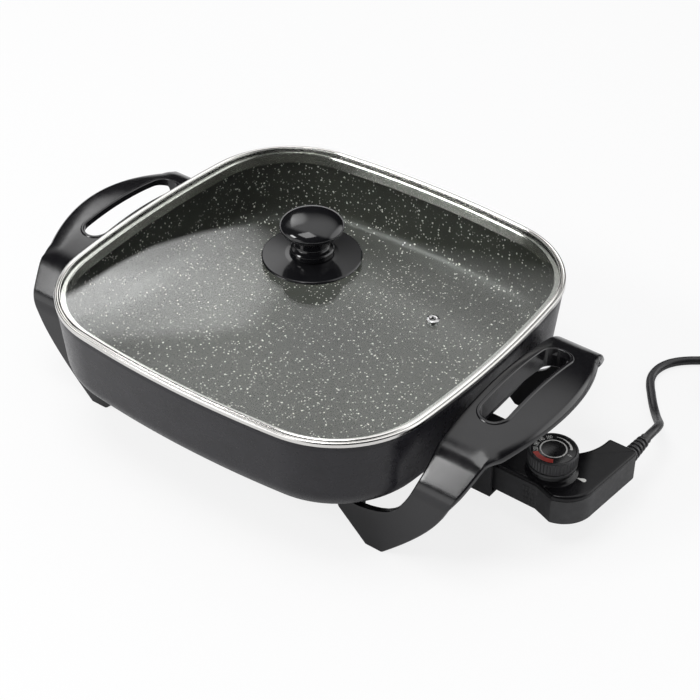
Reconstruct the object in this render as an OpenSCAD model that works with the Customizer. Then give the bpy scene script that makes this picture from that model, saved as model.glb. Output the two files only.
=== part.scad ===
// Electric skillet: a square coated pan on two arched handles that are also its feet,
// a domed glass lid that lifts off, and a plug-in heat controller on a mains lead.
// Millimetres. Z is up from the table, X runs to the controller, Y to the back.

/* [Pan] */
// Length of the lid's steel edge, left to right
rim_len = 330; // [300:1:350]
// Width of the lid's steel edge, front to back
rim_wid = 322; // [300:1:350]
// Radius of the rim outline at the corners
corner_r = 81; // [60:1:100]
// Radius of the bowed sides of the rim outline
side_r = 820; // [600:10:1500]
// Height of the lid's steel edge above the table
rim_h = 121; // [112:1:135]
// Outside depth of the pan
pan_depth = 65; // [58:1:70]
// Thickness of the pan's wall
pan_wall = 3; // [2.4:0.1:4]
// Thickness of the pan's floor
floor_t = 4.5; // [4.2:0.1:6]
// Inward lean of the wall from top to bottom
wall_lean = 4; // [1:0.1:8]
// Outside radius between wall and floor
base_r = 20; // [14:1:24]
// Width of the flat land that the lid rests on
land_w = 5.3; // [4.4:0.1:7]

/* [Lid] */
// Height of the dome from its edge to its crown
dome_h = 19.6; // [10:0.1:30]
// Thickness of the glass
glass_t = 3; // [2.6:0.1:3.4]
// Thickness of the steel edge band
band_t = 0.8; // [0.6:0.1:1]
// Width of the steel edge band seen from above
band_w = 4.8; // [4.6:0.1:6.5]
// Depth of the skirt that drops into the pan
skirt_h = 8.4; // [4:0.2:12]
// Distance from the rim to the steam vent
vent_inset = 56; // [46:1:80]
// Radius of the steam hole
vent_r = 1.6; // [1:0.1:2.5]

/* [Knob] */
// Diameter of the guard disc under the knob
disc_d = 75; // [60:1:90]
// Diameter of the knob's head
head_d = 47; // [40:1:56]
// Height of the knob above its disc
knob_h = 32; // [28:1:40]
// Diameter of the knob's neck
neck_d = 25; // [20:1:30]
// Radius of the screw that holds the knob
knob_screw_r = 2.5; // [2:0.1:3]

/* [Handles] */
// Reach of each grip beyond the rim
grip_reach = 60; // [50:1:70]
// Height of the grip's top below the rim
grip_drop = 9; // [6:1:14]
// Fall of the grip's top from its middle to the crease
grip_sag = 11; // [6:1:16]
// Half length of the grip between its creases
crease_y = 75; // [70:1:80]
// Distance from the middle to the outer face of a leg
leg_y = 102; // [96:1:110]
// Thickness of the moulded strap
strap_t = 5; // [4:0.2:6]
// Depth of the grip's outer skirt
grip_skirt = 6.5; // [5.5:0.5:12]
// Depth of the wall round the hand hole
hole_wall = 16; // [12:1:18]
// Length of the hand hole
hole_len = 100; // [90:1:110]
// How far the hand hole sits behind the middle of the grip
hole_y = 5; // [0:0.5:7]
// Width of the hand hole
hole_wid = 21; // [18:1:25]
// Length of the flat under each foot
foot_len = 16; // [10:1:24]
// Height of the posts under the pan that carry the legs
post_h = 19; // [14:1:22]
// Radius of the leg screws
leg_screw_r = 2; // [1.6:0.1:2.4]

/* [Heater] */
// Radius of the heater tube
tube_r = 4; // [3:0.1:4.4]
// Half width of the heater loop
loop_half = 80; // [72:0.5:82]
// Radius of the heater loop's corners
loop_r = 45; // [30:1:50]
// Drop from the heater loop to its terminals
pin_drop = 9.7; // [8:0.1:12]
// Half distance between the two terminal pins
pin_y = 10.5; // [10.2:0.1:10.8]
// Radius of the terminal pins
pin_r = 2.4; // [2:0.1:2.6]
// Half width of the shroud round the pins
shroud_half = 23; // [22.6:0.1:26]
// Wall of the shroud
shroud_t = 2.5; // [2:0.1:3]

/* [Controller] */
// Half width of the arm that plugs into the shroud
arm_half = 17; // [16.6:0.1:18]
// Height of the housing
ctrl_h = 26; // [25:0.5:28]
// Distance from the rim to the dial's axis
dial_x = 51; // [48:1:56]
// Radius of the round end of the housing
head_r = 26; // [25:0.5:28]
// Reach of the side arm from the dial's axis
side_reach = 56; // [52:1:66]
// Width of the side arm
side_w = 24; // [20:1:28]
// Distance from the dial's axis to the outer face of the side arm
side_out = 39; // [37:1:42]
// Wall of the housing
case_t = 2.2; // [1.8:0.1:2.6]
// Diameter of the dial
dial_d = 36.5; // [32:0.5:38]
// Height of the dial
dial_h = 13.5; // [10:0.5:14]
// Number of grip ribs round the dial
dial_ribs = 44; // [30:1:60]
// Radius of the dial's shaft
shaft_r = 3; // [2.5:0.1:3.4]
// Radius of the heat probe
probe_r = 3.1; // [2.6:0.1:3.4]
// Length of the heat probe beyond the arm
probe_len = 56; // [50:1:58]

/* [Lead] */
// Diameter of the mains lead
cord_d = 7; // [6:0.5:8]
// Diameter across the middle of the coil's turns
coil_d = 75; // [72:1:84]

/* [Hidden] */
$fn = 96;
gap = 0.3;

// Rim outline: four bowed sides and four corner arcs that meet them smoothly
half_x = rim_len / 2;
half_y = rim_wid / 2;
side_cx = half_x - side_r;
side_cy = half_y - side_r;
arc_d = side_r - corner_r;
k1 = side_cx / side_cy;
k0 = (side_cy * side_cy - side_cx * side_cx) / (2 * side_cy);
qa = 1 + k1 * k1;
qb = 2 * k1 * k0 - 2 * side_cx;
qc = side_cx * side_cx + k0 * k0 - arc_d * arc_d;
corner_x = (-qb + sqrt(qb * qb - 4 * qa * qc)) / (2 * qa);
corner_y = k1 * corner_x + k0;
ang_x = atan2(corner_y, corner_x - side_cx);
ang_y = atan2(corner_x, corner_y - side_cy);

function on_arc(c, r, a) = [c[0] + r * cos(a), c[1] + r * sin(a)];
function arc(c, r, a0, a1, n) = [for (i = [0:n]) on_arc(c, r, a0 + (a1 - a0) * i / n)];
function bend(a, b, c, n) = [
    for (i = [0:n]) let (t = i / n) (1 - t) * (1 - t) * a + 2 * t * (1 - t) * b + t * t * c
];
function but_last(p) = [for (i = [0:len(p) - 2]) p[i]];
// Points round the rim outline, moved outwards by off
function quarter(off, ns, nc) = concat(
    but_last(arc([side_cx, 0], side_r + off, 0, ang_x, ns)),
    but_last(arc([corner_x, corner_y], corner_r + off, ang_x, 90 - ang_y, nc)),
    but_last(arc([0, side_cy], side_r + off, 90 - ang_y, 90, ns)));
function turned(p) = [for (i = [len(p) - 1:-1:0]) p[i]];
function outline(off, ns, nc) = let (q = quarter(off, ns, nc), n = len(q)) concat(
    q,
    [[0, half_y + off]], [for (i = [n - 1:-1:1]) [-q[i][0], q[i][1]]],
    [for (i = [0:n - 1]) [-q[i][0], -q[i][1]]],
    [[0, -half_y - off]], [for (i = [n - 1:-1:1]) [q[i][0], -q[i][1]]]);

// Heights above the table
glass_proud = -0.3;
glass_seat = 0.1;
glass_top = rim_h + glass_proud;
land_h = glass_top - glass_t - glass_seat - band_t;
pan_low = land_h - pan_depth;
floor_h = pan_low + floor_t;
loop_h = pan_low - gap - tube_r;
pin_h = loop_h - pin_drop;
ctrl_top = pin_h + 9;
ctrl_low = ctrl_top - ctrl_h;
axis_h = ctrl_top - ctrl_h / 2;

// Places along X, measured from the middle of the pan
crease_x = half_x + grip_reach - 18;
inner_x = half_x + 2.5;
vent_x = half_x - vent_inset;
dial_cx = half_x + dial_x;
ctrl_x1 = dial_cx + side_out;
shroud_x0 = half_x - base_r - wall_lean - 14;
shroud_x1 = half_x + 15;
arm_x0 = half_x - 15;
side_x = ctrl_x1 - 9;
// The frame's origin lies under the middle of the whole skillet without its lead
frame_x = (half_x + grip_reach - ctrl_x1) / 2;

module place() {
    translate([frame_x, 0, 0]) children();
}

// Lofts a section of [offset outwards, height] points round the rim outline. The section
// goes up its outer side first. It closes on itself as a ring, or with a flat cap at each end.
module around(section, capped = false) {
    rings_xy = [for (p = section) outline(p[0], 2, 9)];
    n = len(rings_xy[0]);
    m = len(section);
    last = capped ? m - 2 : m - 1;
    points = [for (j = [0:m - 1]) each [for (q = rings_xy[j]) [q[0], q[1], section[j][1]]]];
    sides = [for (j = [0:last], i = [0:n - 1])
        let (a = j * n + i, b = j * n + (i + 1) % n, c = ((j + 1) % m) * n + i,
            d = ((j + 1) % m) * n + (i + 1) % n)
        each [[a, c, d], [a, d, b]]];
    caps = capped ? [[for (i = [0:n - 1]) i], [for (i = [n - 1:-1:0]) (m - 1) * n + i]] : [];
    polyhedron(points, concat(sides, caps));
}

// A tube with n sides along a list of points, as one closed solid
function unit(v) = v / norm(v);
function along(p, i) = unit(p[min(i + 1, len(p) - 1)] - p[max(i - 1, 0)]);
function ring(p, i, r, n) = let (t = along(p, i), a = unit(cross([0, 0, 1], t)), b = cross(t, a))
    [for (k = [0:n - 1]) p[i] + r * (a * cos(360 * k / n) + b * sin(360 * k / n))];
module tube(p, r, n) {
    m = len(p);
    pts = [for (i = [0:m - 1]) each ring(p, i, r, n)];
    polyhedron(pts, concat(
        [for (i = [1:n - 2]) [0, i, i + 1]],
        [for (i = [1:n - 2]) let (z = (m - 1) * n) [z, z + i + 1, z + i]],
        [for (j = [0:m - 2], k = [0:n - 1]) let (a = j * n + k, b = j * n + (k + 1) % n)
            each [[a, a + n, b + n], [a, b + n, b]]]));
}

/* ---- Pan ---- */
post_x = half_x - 53;
post_y = leg_y - strap_t - 4.5;
boss_x0 = shroud_x0 - 40;
boss_x1 = shroud_x0 - 8;
probe_gap = 0.25;
boss_half = pin_y - tube_r - 0.6;
ear_x = shroud_x0 + 7;
ear_y = shroud_half + 5;
screw_grip = 3;

pan_section = concat(
    arc([-1.2 - wall_lean - base_r, pan_low + base_r], base_r, -90, 0, 6),
    [[-1.2, land_h - 4], [-1.2, land_h], [-1.2 - land_w, land_h], [-1.2 - land_w, land_h - 4],
     [-1.2 - pan_wall, land_h - 9]],
    arc([-1.2 - wall_lean - base_r, floor_h + base_r - pan_wall], base_r - pan_wall, 0, -90, 5));

module pan() {
    color([0.14, 0.14, 0.15]) place() difference() {
        union() {
            around(pan_section, capped = true);
            for (x = [-1, 1], y = [-1, 1])
                translate([x * post_x, y * post_y, pan_low - post_h])
                    cylinder(r = 6.5, h = post_h + 1);
            translate([boss_x0, -boss_half, pin_h - boss_half])
                cube([boss_x1 - boss_x0, 2 * boss_half, pan_low - pin_h + boss_half + 1]);
        }
        for (x = [-1, 1], y = [-1, 1])
            translate([x * post_x, y * post_y, pan_low - post_h - 1])
                cylinder(r = leg_screw_r, h = post_h - 2);
        translate([boss_x0 - 1, 0, pin_h]) rotate([0, 90, 0])
            cylinder(r = probe_r + probe_gap, h = boss_x1 - boss_x0 + 2);
        for (y = [-1, 1])
            translate([ear_x, y * ear_y, pan_low - 1]) cylinder(r = 1.8, h = 1 + screw_grip + 0.2);
    }
}

/* ---- Heater ---- */
bend_r = 12;
bend_a = acos(1 - pin_drop / (2 * bend_r));
bend_x = 2 * bend_r * sin(bend_a);
cold_x = shroud_x0 - 8;
turn_r = 14;

// Half of the tube's middle line: cold end, S-shaped rise to the pan's floor, loop
function half_path(s) = concat(
    [[shroud_x0 + 8, s * pin_y, pin_h]],
    [for (q = arc([cold_x, pin_h + bend_r], bend_r, -90, -90 - bend_a, 4)) [q[0], s * pin_y, q[1]]],
    [for (q = arc([cold_x - bend_x, loop_h - bend_r], bend_r, 90 - bend_a, 90, 4))
        [q[0], s * pin_y, q[1]]],
    [for (q = arc([loop_half + turn_r, pin_y + turn_r], turn_r, 270, 180, 6)) [q[0], s * q[1], loop_h]],
    [for (q = arc([loop_half - loop_r, loop_half - loop_r], loop_r, 0, 90, 8)) [q[0], s * q[1], loop_h]],
    [for (q = arc([loop_r - loop_half, loop_half - loop_r], loop_r, 90, 180, 8))
        [q[0], s * q[1], loop_h]]);
module heating_element() {
    color([0.35, 0.33, 0.32]) place() tube(concat(half_path(1), turned(half_path(-1))), tube_r, 10);
}
module terminal_pins() {
    color([0.75, 0.74, 0.7]) place() for (y = [-1, 1])
        translate([shroud_x0 + 8, y * pin_y, pin_h]) rotate([0, 90, 0]) {
            cylinder(r = pin_r, h = shroud_x1 - shroud_x0 - 14);
            translate([0, 0, shroud_x1 - shroud_x0 - 14]) cylinder(r1 = pin_r, r2 = pin_r / 2, h = 2);
        }
}
insulator_len = 10;
module pin_insulators() {
    color([0.9, 0.88, 0.82]) place() for (y = [-1, 1])
        translate([shroud_x0 - 3, y * pin_y, pin_h]) rotate([0, 90, 0]) difference() {
            union() {
                cylinder(r = tube_r + 1.6, h = insulator_len);
                cylinder(r = tube_r + 2, h = 2.8);
            }
            translate([0, 0, -1]) cylinder(r = tube_r + 0.05, h = insulator_len + 2);
        }
}
ear_r = 5;
module terminal_shroud() {
    len_x = shroud_x1 - shroud_x0;
    low = ctrl_low - 0.5 - shroud_t;
    high = pan_low - gap;
    color([0.07, 0.07, 0.07]) place() difference() {
        union() {
            translate([shroud_x0, -shroud_half, low]) cube([len_x, 2 * shroud_half, high - low]);
            for (y = [-1, 1])
                translate([ear_x, y * ear_y, high - screw_grip]) {
                    cylinder(r = ear_r, h = screw_grip);
                    translate([-ear_r, y < 0 ? 0 : -ear_r - 1, 0]) cube([2 * ear_r, ear_r + 1, screw_grip]);
                }
        }
        translate([shroud_x0 + shroud_t, shroud_t - shroud_half, low + shroud_t])
            cube([len_x, 2 * (shroud_half - shroud_t), high - low - 2 * shroud_t]);
        for (y = [-1, 1])
            translate([shroud_x0 - 1, y * pin_y, pin_h]) rotate([0, 90, 0])
                cylinder(r = tube_r + 1.7, h = shroud_t + 2);
        translate([shroud_x0 - 1, 0, pin_h]) rotate([0, 90, 0])
            cylinder(r = probe_r + 0.8, h = shroud_t + 2);
        for (y = [-1, 1])
            translate([ear_x, y * ear_y, high - 5]) cylinder(r = 2.2, h = 8);
    }
}
module shroud_screws() {
    color([0.7, 0.7, 0.72]) place() for (y = [-1, 1])
        translate([ear_x, y * ear_y, pan_low - gap - screw_grip]) {
            translate([0, 0, -2.2]) cylinder(r = 3.6, h = 2.2);
            cylinder(r = 1.8, h = 2 * screw_grip + gap - 0.2);
        }
}

/* ---- Handles ---- */
grip_top = rim_h - grip_drop;
crease_h = grip_top - grip_sag;
tab_top = pan_low - post_h;
tab_low = tab_top - 9;
foot_x = half_x - 23.6;
// Bends of the strap from the grip to the slanted face, and from there to the upright leg:
// how far each start, corner and end lies from the crease or the leg, outwards and down
bend_a1 = [3, 1];
bend_a2 = [7, 5.7];
bend_b0 = [6, 20.2];
bend_b1 = [0, 26.4];
bend_b2 = [0, 35];

function sag(y) = grip_top - grip_sag * pow(y / crease_y, 2);
function grip_line(drop) = [for (i = [-8:8]) [crease_y * i / 8, sag(crease_y * i / 8) - drop]];
// Outer and inner face of the leg, in Y and Z, from the crease to the straight leg
function from_crease(d, tilt, t) = [crease_y + d[0] - sin(tilt) * t, crease_h - d[1] - cos(tilt) * t];
function from_leg(d, tilt, t) = [leg_y - d[0] - sin(tilt) * t, crease_h - d[1] - cos(tilt) * t];
function leg_line(t) = concat(
    bend(from_crease([0, 0], 16, t), from_crease(bend_a1, 22, t), from_crease(bend_a2, 46, t), 3),
    bend(from_leg(bend_b0, 46, t), from_leg(bend_b1, 66, t), from_leg(bend_b2, 90, t), 5));

// Slab that follows the grip's top, between two depths below it
module grip_slab(from_top, to_top) {
    rotate([90, 0, 90]) linear_extrude(half_x + grip_reach + 10)
        polygon(concat(grip_line(from_top), turned(grip_line(to_top))));
}
module plan_prism() {
    translate([0, 0, crease_h - 40]) linear_extrude(grip_top - crease_h + 60) children();
}
module grip_plan() {
    outer = bend([crease_x, -crease_y], [2 * (half_x + grip_reach) - crease_x, 0], [crease_x, crease_y], 12);
    polygon(concat([[inner_x, crease_y], [inner_x, -crease_y]], outer));
}
module hole_plan(grow) {
    r = hole_wid / 2;
    translate([hole_x, hole_y]) {
        for (s = [-1, 1]) translate([0, s * (hole_len / 2 - r)]) circle(r + grow);
        translate([-r - grow, r - hole_len / 2]) square([2 * (r + grow), hole_len - 2 * r]);
    }
}
// The deep wall runs along the pan's side of the hole and round half of each end
module wall_plan() {
    intersection() {
        hole_plan(lip_w);
        translate([hole_x - hole_wid, hole_y - hole_len]) square([hole_wid + 2, 2 * hole_len]);
    }
}
hole_x = half_x + 21.5;
lip_w = 3;

module grip() {
    difference() {
        union() {
            intersection() { grip_slab(0, strap_t); plan_prism() grip_plan(); }
            intersection() {
                grip_slab(1, grip_skirt);
                plan_prism() difference() { grip_plan(); offset(delta = -4) grip_plan(); }
            }
            intersection() { grip_slab(-1.5, strap_t - 1); plan_prism() hole_plan(lip_w); }
            intersection() { grip_slab(strap_t - 2, hole_wall); plan_prism() wall_plan(); }
        }
        plan_prism() hole_plan(0);
    }
}
// Side view of a leg: X and Z
leg_side = concat(
    bend([crease_x, crease_h], [half_x + 38, crease_h - 15], [half_x + 27, crease_h - 37], 6),
    bend([half_x + 27, crease_h - 37], [half_x + 18, crease_h - 61], [foot_x, 0], 8),
    [[foot_x - foot_len, 0], [post_x - 12, tab_low], [post_x - 9, tab_top - 2], [post_x - 5, tab_top - gap]],
    bend([post_x + 4, tab_top - gap], [half_x - 19, pan_low - 16], [half_x - 10, pan_low], 6),
    bend([half_x - 9.6, pan_low + 1], [half_x + 5, pan_low + 24], [inner_x, crease_h - 2], 6),
    [[inner_x, crease_h]]);

module leg() {
    intersection() {
        rotate([90, 0, 90]) linear_extrude(half_x + grip_reach + 10) polygon(concat(
            [[leg_y - strap_t, 0]], turned(leg_line(strap_t)),
            [[crease_y - strap_t / 2, crease_h - strap_t], [crease_y - strap_t / 2, crease_h]],
            leg_line(0), [[leg_y, 0]]));
        translate([0, leg_y + 1, 0]) rotate([90, 0, 0]) linear_extrude(leg_y) polygon(leg_side);
    }
    // Socket that takes the leg screw
    difference() {
        translate([post_x, post_y, tab_low - 6]) cylinder(r = 6, h = tab_top - gap - tab_low + 6);
        translate([post_x, post_y, tab_low - 7]) cylinder(r = 4.2, h = 7);
        translate([post_x, post_y, tab_low - 7]) cylinder(r = leg_screw_r + gap, h = tab_top - tab_low + 8);
    }
}
module handle() {
    grip();
    leg();
    mirror([0, 1, 0]) leg();
}
module right_handle() {
    color([0.05, 0.05, 0.055]) place() handle();
}
module left_handle() {
    color([0.05, 0.05, 0.055]) place() mirror([1, 0, 0]) handle();
}
module leg_screws() {
    color([0.7, 0.7, 0.72]) place() for (x = [-1, 1], y = [-1, 1])
        translate([x * post_x, y * post_y, tab_low - 3]) {
            cylinder(r = 3.9, h = 3);
            cylinder(r = leg_screw_r - 0.05, h = post_h + 5);
        }
}

/* ---- Lid ---- */
slot_off = -3.4;
glass_off = slot_off - gap;
rings = [1, 0.93, 0.82, 0.67, 0.48, 0.26];

function dome(s) = dome_h * (1 - pow(s, 2.2));
function slice(s, z) = [for (p = outline(glass_off, 3, 6)) [s * p[0], s * p[1], z + dome(s)]];

module lid_glass() {
    n = len(outline(glass_off, 3, 6));
    m = len(rings);
    upper = [for (s = rings) each slice(s, glass_top)];
    lower = [for (s = rings) each slice(s, glass_top - glass_t)];
    points = concat(upper, [[0, 0, glass_top + dome_h]], lower, [[0, 0, glass_top - glass_t + dome_h]]);
    top = n * m;
    base = top + 1;
    color([0.75, 0.82, 0.8, 0.35]) place() difference() {
        polyhedron(points, [
            for (j = [0:m - 2], i = [0:n - 1]) let (a = j * n + i, b = j * n + (i + 1) % n)
                each [[a, b + n, b], [a, a + n, b + n]],
            for (i = [0:n - 1]) [top, (m - 1) * n + (i + 1) % n, (m - 1) * n + i],
            for (j = [0:m - 2], i = [0:n - 1])
                let (a = base + j * n + i, b = base + j * n + (i + 1) % n)
                each [[a, b, b + n], [a, b + n, a + n]],
            for (i = [0:n - 1]) [base + top, base + (m - 1) * n + i, base + (m - 1) * n + (i + 1) % n],
            for (i = [0:n - 1]) let (j = (i + 1) % n) each [[i, j, base + j], [i, base + j, base + i]]
        ]);
        cylinder(r = knob_screw_r + 1, h = 2 * rim_h);
        translate([vent_x, 0, 0]) cylinder(r = vent_r + 1.5, h = 2 * rim_h);
    }
}

edge_rise = dome((half_x - band_w) / (half_x + glass_off));
lid_section = [
    [-1.2, land_h], [0, land_h + 0.7], [0, rim_h - 1], [-0.5, rim_h], [-1.3, rim_h + 0.4],
    [-2.1, rim_h], [-2.5, rim_h - 0.6], [-2.9, rim_h - 0.6], [slot_off, glass_top + 0.6],
    [slot_off - 0.9, glass_top + edge_rise + 0.7], [-band_w, glass_top + edge_rise + 0.8],
    [-band_w, glass_top + edge_rise + 0.2], [slot_off, glass_top + 0.2],
    [slot_off, land_h + band_t], [-8.8, land_h + band_t],
    [-9.6, land_h + band_t - 1], [-9.6, land_h - skirt_h], [-8.8, land_h - skirt_h], [-8.8, land_h]
];
module lid_rim() {
    color([0.8, 0.8, 0.82]) place() around(lid_section);
}

crown = glass_top + dome_h;
vent_h = glass_top + dome(vent_x / (half_x + glass_off));
module vent_grommet() {
    color([0.85, 0.85, 0.86]) place() translate([vent_x, 0, vent_h]) rotate_extrude() polygon([
        [vent_r, -glass_t - 1.9], [vent_r + 2.6, -glass_t - 1.9], [vent_r + 2.6, -glass_t - 1],
        [vent_r + 1.3, -glass_t - 1], [vent_r + 1.3, 1], [vent_r + 3.4, 1],
        [vent_r + 3, 1.7], [vent_r + 1.6, 2.1], [vent_r + 0.4, 1.7], [vent_r, 1]
    ]);
}

disc_low = crown + 1.2;
disc_t = 3.6;
disc_top = disc_low + disc_t;
module knob_gasket() {
    color([0.1, 0.1, 0.1]) place() translate([0, 0, crown]) difference() {
        cylinder(r = 14, h = 1.2);
        translate([0, 0, -1]) cylinder(r = knob_screw_r + 1, h = 4);
    }
}
module knob_disc() {
    r = disc_d / 2;
    color([0.04, 0.04, 0.045]) place() translate([0, 0, disc_low]) rotate_extrude() polygon([
        [knob_screw_r + 0.5, 0], [16, 0], [16.5, -0.4], [r - 3, -0.4], [r - 0.8, 0],
        [r, 0.8], [r, 1.6], [r - 0.8, 2.3], [20, disc_t - 0.4], [17, disc_t], [knob_screw_r + 0.5, disc_t]
    ]);
}
module lid_knob() {
    r = head_d / 2;
    n = neck_d / 2;
    c = 8.8;
    mid = knob_h - c;
    dome_pts = [for (a = [0:15:75]) [r * cos(a), mid + c * sin(a)]];
    color([0.04, 0.04, 0.045]) place() translate([0, 0, disc_top]) difference() {
        rotate_extrude() polygon(concat(
            [[0, 0], [n + 3.2, 0], [n + 4, 0.8], [n + 4, 4.6], [n + 3.2, 5.6], [n + 0.6, 6.6], [n, 8],
             [n, mid - c], [n + 3, mid - c + 1.5], [r - 3.5, mid - 4.5], [r - 0.8, mid - 2]],
            dome_pts, [[0, mid + c]]));
        translate([0, 0, -1]) cylinder(r = knob_screw_r, h = 14);
    }
}
module knob_washer() {
    color([0.8, 0.8, 0.82]) place() translate([0, 0, crown - glass_t - 1.5]) difference() {
        cylinder(r = 8, h = 1.1);
        translate([0, 0, -1]) cylinder(r = knob_screw_r + 0.3, h = 4);
    }
}
module knob_screw() {
    head_h = 2.4;
    color([0.8, 0.8, 0.82]) place() translate([0, 0, crown - glass_t - 1.5 - head_h]) difference() {
        union() {
            cylinder(r1 = 3.6, r2 = 4.6, h = head_h);
            cylinder(r = knob_screw_r - 0.05, h = head_h + glass_t + disc_t + 13);
        }
        for (a = [0, 90]) rotate([0, 0, a]) translate([-3, -0.5, -1]) cube([6, 1, 2.2]);
    }
}

/* ---- Controller ---- */
flare_x = dial_cx + 7;
case_split = ctrl_top - 4;
top_round = 2.4;
boss_h = 6.4;
dial_low = ctrl_top + boss_h + gap;
side_y1 = side_reach;

function case_pts() = concat(
    [[arm_x0, -arm_half], [flare_x - 8, -arm_half - 0.8], [flare_x - 3, -arm_half - 2.6]],
    arc([dial_cx + 9, 2], head_r, -78, 0, 8),
    bend([ctrl_x1, side_y1 - 3], [ctrl_x1, side_y1], [ctrl_x1 - 3, side_y1], 3),
    [[ctrl_x1 - side_w + 1, side_y1]],
    bend([ctrl_x1 - side_w, side_y1 - 2], [ctrl_x1 - side_w - 1, side_y1 - 22], [dial_cx - 1, arm_half + 6], 7),
    bend([dial_cx - 4, arm_half + 6], [dial_cx - 14, arm_half + 5], [dial_cx - 20, arm_half], 4),
    [[arm_x0, arm_half]]);

module case_outline(inset) {
    if (inset > 0) offset(delta = -inset) polygon(case_pts());
    else polygon(case_pts());
}
stud_xy = [[dial_cx - 24, -11.5], [dial_cx - 24, 11.5], [dial_cx + 26, 14], [ctrl_x1 - 8, side_y1 - 12]];
module controller_base() {
    color([0.09, 0.09, 0.095]) place() difference() {
        union() {
            difference() {
                translate([0, 0, ctrl_low]) linear_extrude(case_split - ctrl_low) case_outline(0);
                translate([0, 0, ctrl_low + case_t])
                    linear_extrude(ctrl_h) case_outline(case_t);
            }
            for (p = stud_xy) translate([p[0], p[1], ctrl_low + 1])
                cylinder(r = 2.8, h = case_split - ctrl_low - 1);
        }
        for (p = stud_xy) translate([p[0], p[1], ctrl_low - 1]) cylinder(r = 1.5, h = ctrl_h);
        for (p = stud_xy) translate([p[0], p[1], ctrl_low - 1]) cylinder(r = 2.4, h = 3);
        for (y = [-1, 1]) translate([arm_x0 - 1, y * pin_y, pin_h]) rotate([0, 90, 0])
            cylinder(r = 3.1, h = case_t + 2);
        translate([arm_x0 - 1, 0, pin_h]) rotate([0, 90, 0]) cylinder(r = probe_r + 1, h = case_t + 2);
        translate([side_x, side_y1 - case_t - 1, axis_h]) rotate([-90, 0, 0])
            cylinder(r = 4.6, h = case_t + 2);
        // Finger grip: short upright grooves in the near side of the arm
        for (i = [0:3], k = [0:3])
            translate([flare_x - 20 + 3.4 * i, -arm_half - 3, ctrl_low + 5 + 3.4 * k])
                cube([1.6, 3.1, 1.8]);
    }
}
module controller_top() {
    color([0.04, 0.04, 0.045]) place() difference() {
        union() {
            difference() {
                union() {
                    translate([0, 0, case_split]) linear_extrude(4 - top_round) case_outline(0);
                    translate([0, 0, ctrl_top - top_round]) linear_extrude(top_round * 0.45)
                        case_outline(0.5);
                    translate([0, 0, ctrl_top - top_round * 0.55]) linear_extrude(top_round * 0.35)
                        case_outline(1.3);
                    translate([0, 0, ctrl_top - top_round * 0.2]) linear_extrude(top_round * 0.2)
                        case_outline(2.2);
                }
                translate([0, 0, case_split - 1]) linear_extrude(3) case_outline(case_t);
            }
            translate([dial_cx, 0, ctrl_top - 1]) cylinder(r = 15.5, h = 1 + boss_h);
            for (p = stud_xy) translate([p[0], p[1], case_split]) cylinder(r = 2.8, h = 3);
        }
        translate([dial_cx, 0, case_split - 1]) cylinder(r = shaft_r + gap, h = 20);
        for (p = stud_xy) translate([p[0], p[1], case_split - 1]) cylinder(r = 1.2, h = 3.2);
        translate([lens_x, lens_y, ctrl_top - 1.2]) rotate([0, 0, lens_a])
            linear_extrude(3) lens_plan(0.1);
        translate([lens_x, lens_y, case_split - 1]) cylinder(r = 1.8, h = 4);
    }
}
lens_a = 10;
lens_d = 24;
lens_x = dial_cx + lens_d * cos(lens_a);
lens_y = lens_d * sin(lens_a);
// Drop that points at the dial
module lens_plan(grow) {
    polygon(concat([[-5 - grow, 0]], arc([0.6, 0], 1.8 + grow, -110, 110, 8)));
}
module indicator_lens() {
    color([0.95, 0.95, 0.92]) place() translate([lens_x, lens_y, ctrl_top - 1.2])
        rotate([0, 0, lens_a]) linear_extrude(1.5) lens_plan(0);
}
lamp_base = [4.8, 4.8, 8];
module neon_lamp() {
    color([0.9, 0.5, 0.3]) place() translate([lens_x, lens_y, ctrl_low + case_t]) {
        cylinder(r = 1.6, h = ctrl_h - case_t - 2.2);
        translate([-lamp_base[0] / 2, -lamp_base[1] / 2, 0]) cube(lamp_base);
    }
}
module controller_screws() {
    color([0.6, 0.6, 0.62]) place() for (p = stud_xy)
        translate([p[0], p[1], ctrl_low]) {
            cylinder(r = 2.3, h = 1.9);
            cylinder(r = 1.2, h = case_split - ctrl_low + 2);
        }
}
thermo_w = 16;
thermo_end = 9;
neck_w = 12;
neck_in = 30;
block_in = 42;
neck_x = arm_x0 + neck_in;
block_x = arm_x0 + block_in;
module thermostat() {
    base = ctrl_low + case_t;
    color([0.85, 0.82, 0.75]) place() difference() {
        union() {
            translate([block_x, -thermo_w / 2, base])
                cube([dial_cx + thermo_end - block_x, thermo_w, ctrl_h - case_t - 7]);
            translate([neck_x, -neck_w / 2, base])
                cube([block_x - neck_x + 1, neck_w, pin_h - base + neck_w / 2]);
        }
        translate([dial_cx, 0, base + 4]) cylinder(r = shaft_r + 0.05, h = ctrl_h);
        translate([neck_x - 1, 0, pin_h]) rotate([0, 90, 0]) cylinder(r = probe_r + 0.05, h = 8);
    }
}
module heat_probe() {
    color([0.78, 0.78, 0.8]) place() translate([arm_x0 - probe_len, 0, pin_h]) rotate([0, 90, 0]) {
        translate([0, 0, 2]) cylinder(r = probe_r, h = probe_len + 35);
        cylinder(r1 = probe_r - 1.4, r2 = probe_r, h = 2);
    }
}
module probe_ferrule() {
    color([0.7, 0.68, 0.6]) place() translate([arm_x0 - 3, 0, pin_h]) rotate([0, 90, 0]) difference() {
        union() {
            cylinder(r = probe_r + 2.4, h = 3);
            cylinder(r = probe_r + 0.9, h = 9);
        }
        translate([0, 0, -1]) cylinder(r = probe_r + 0.05, h = 20);
    }
}
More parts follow.
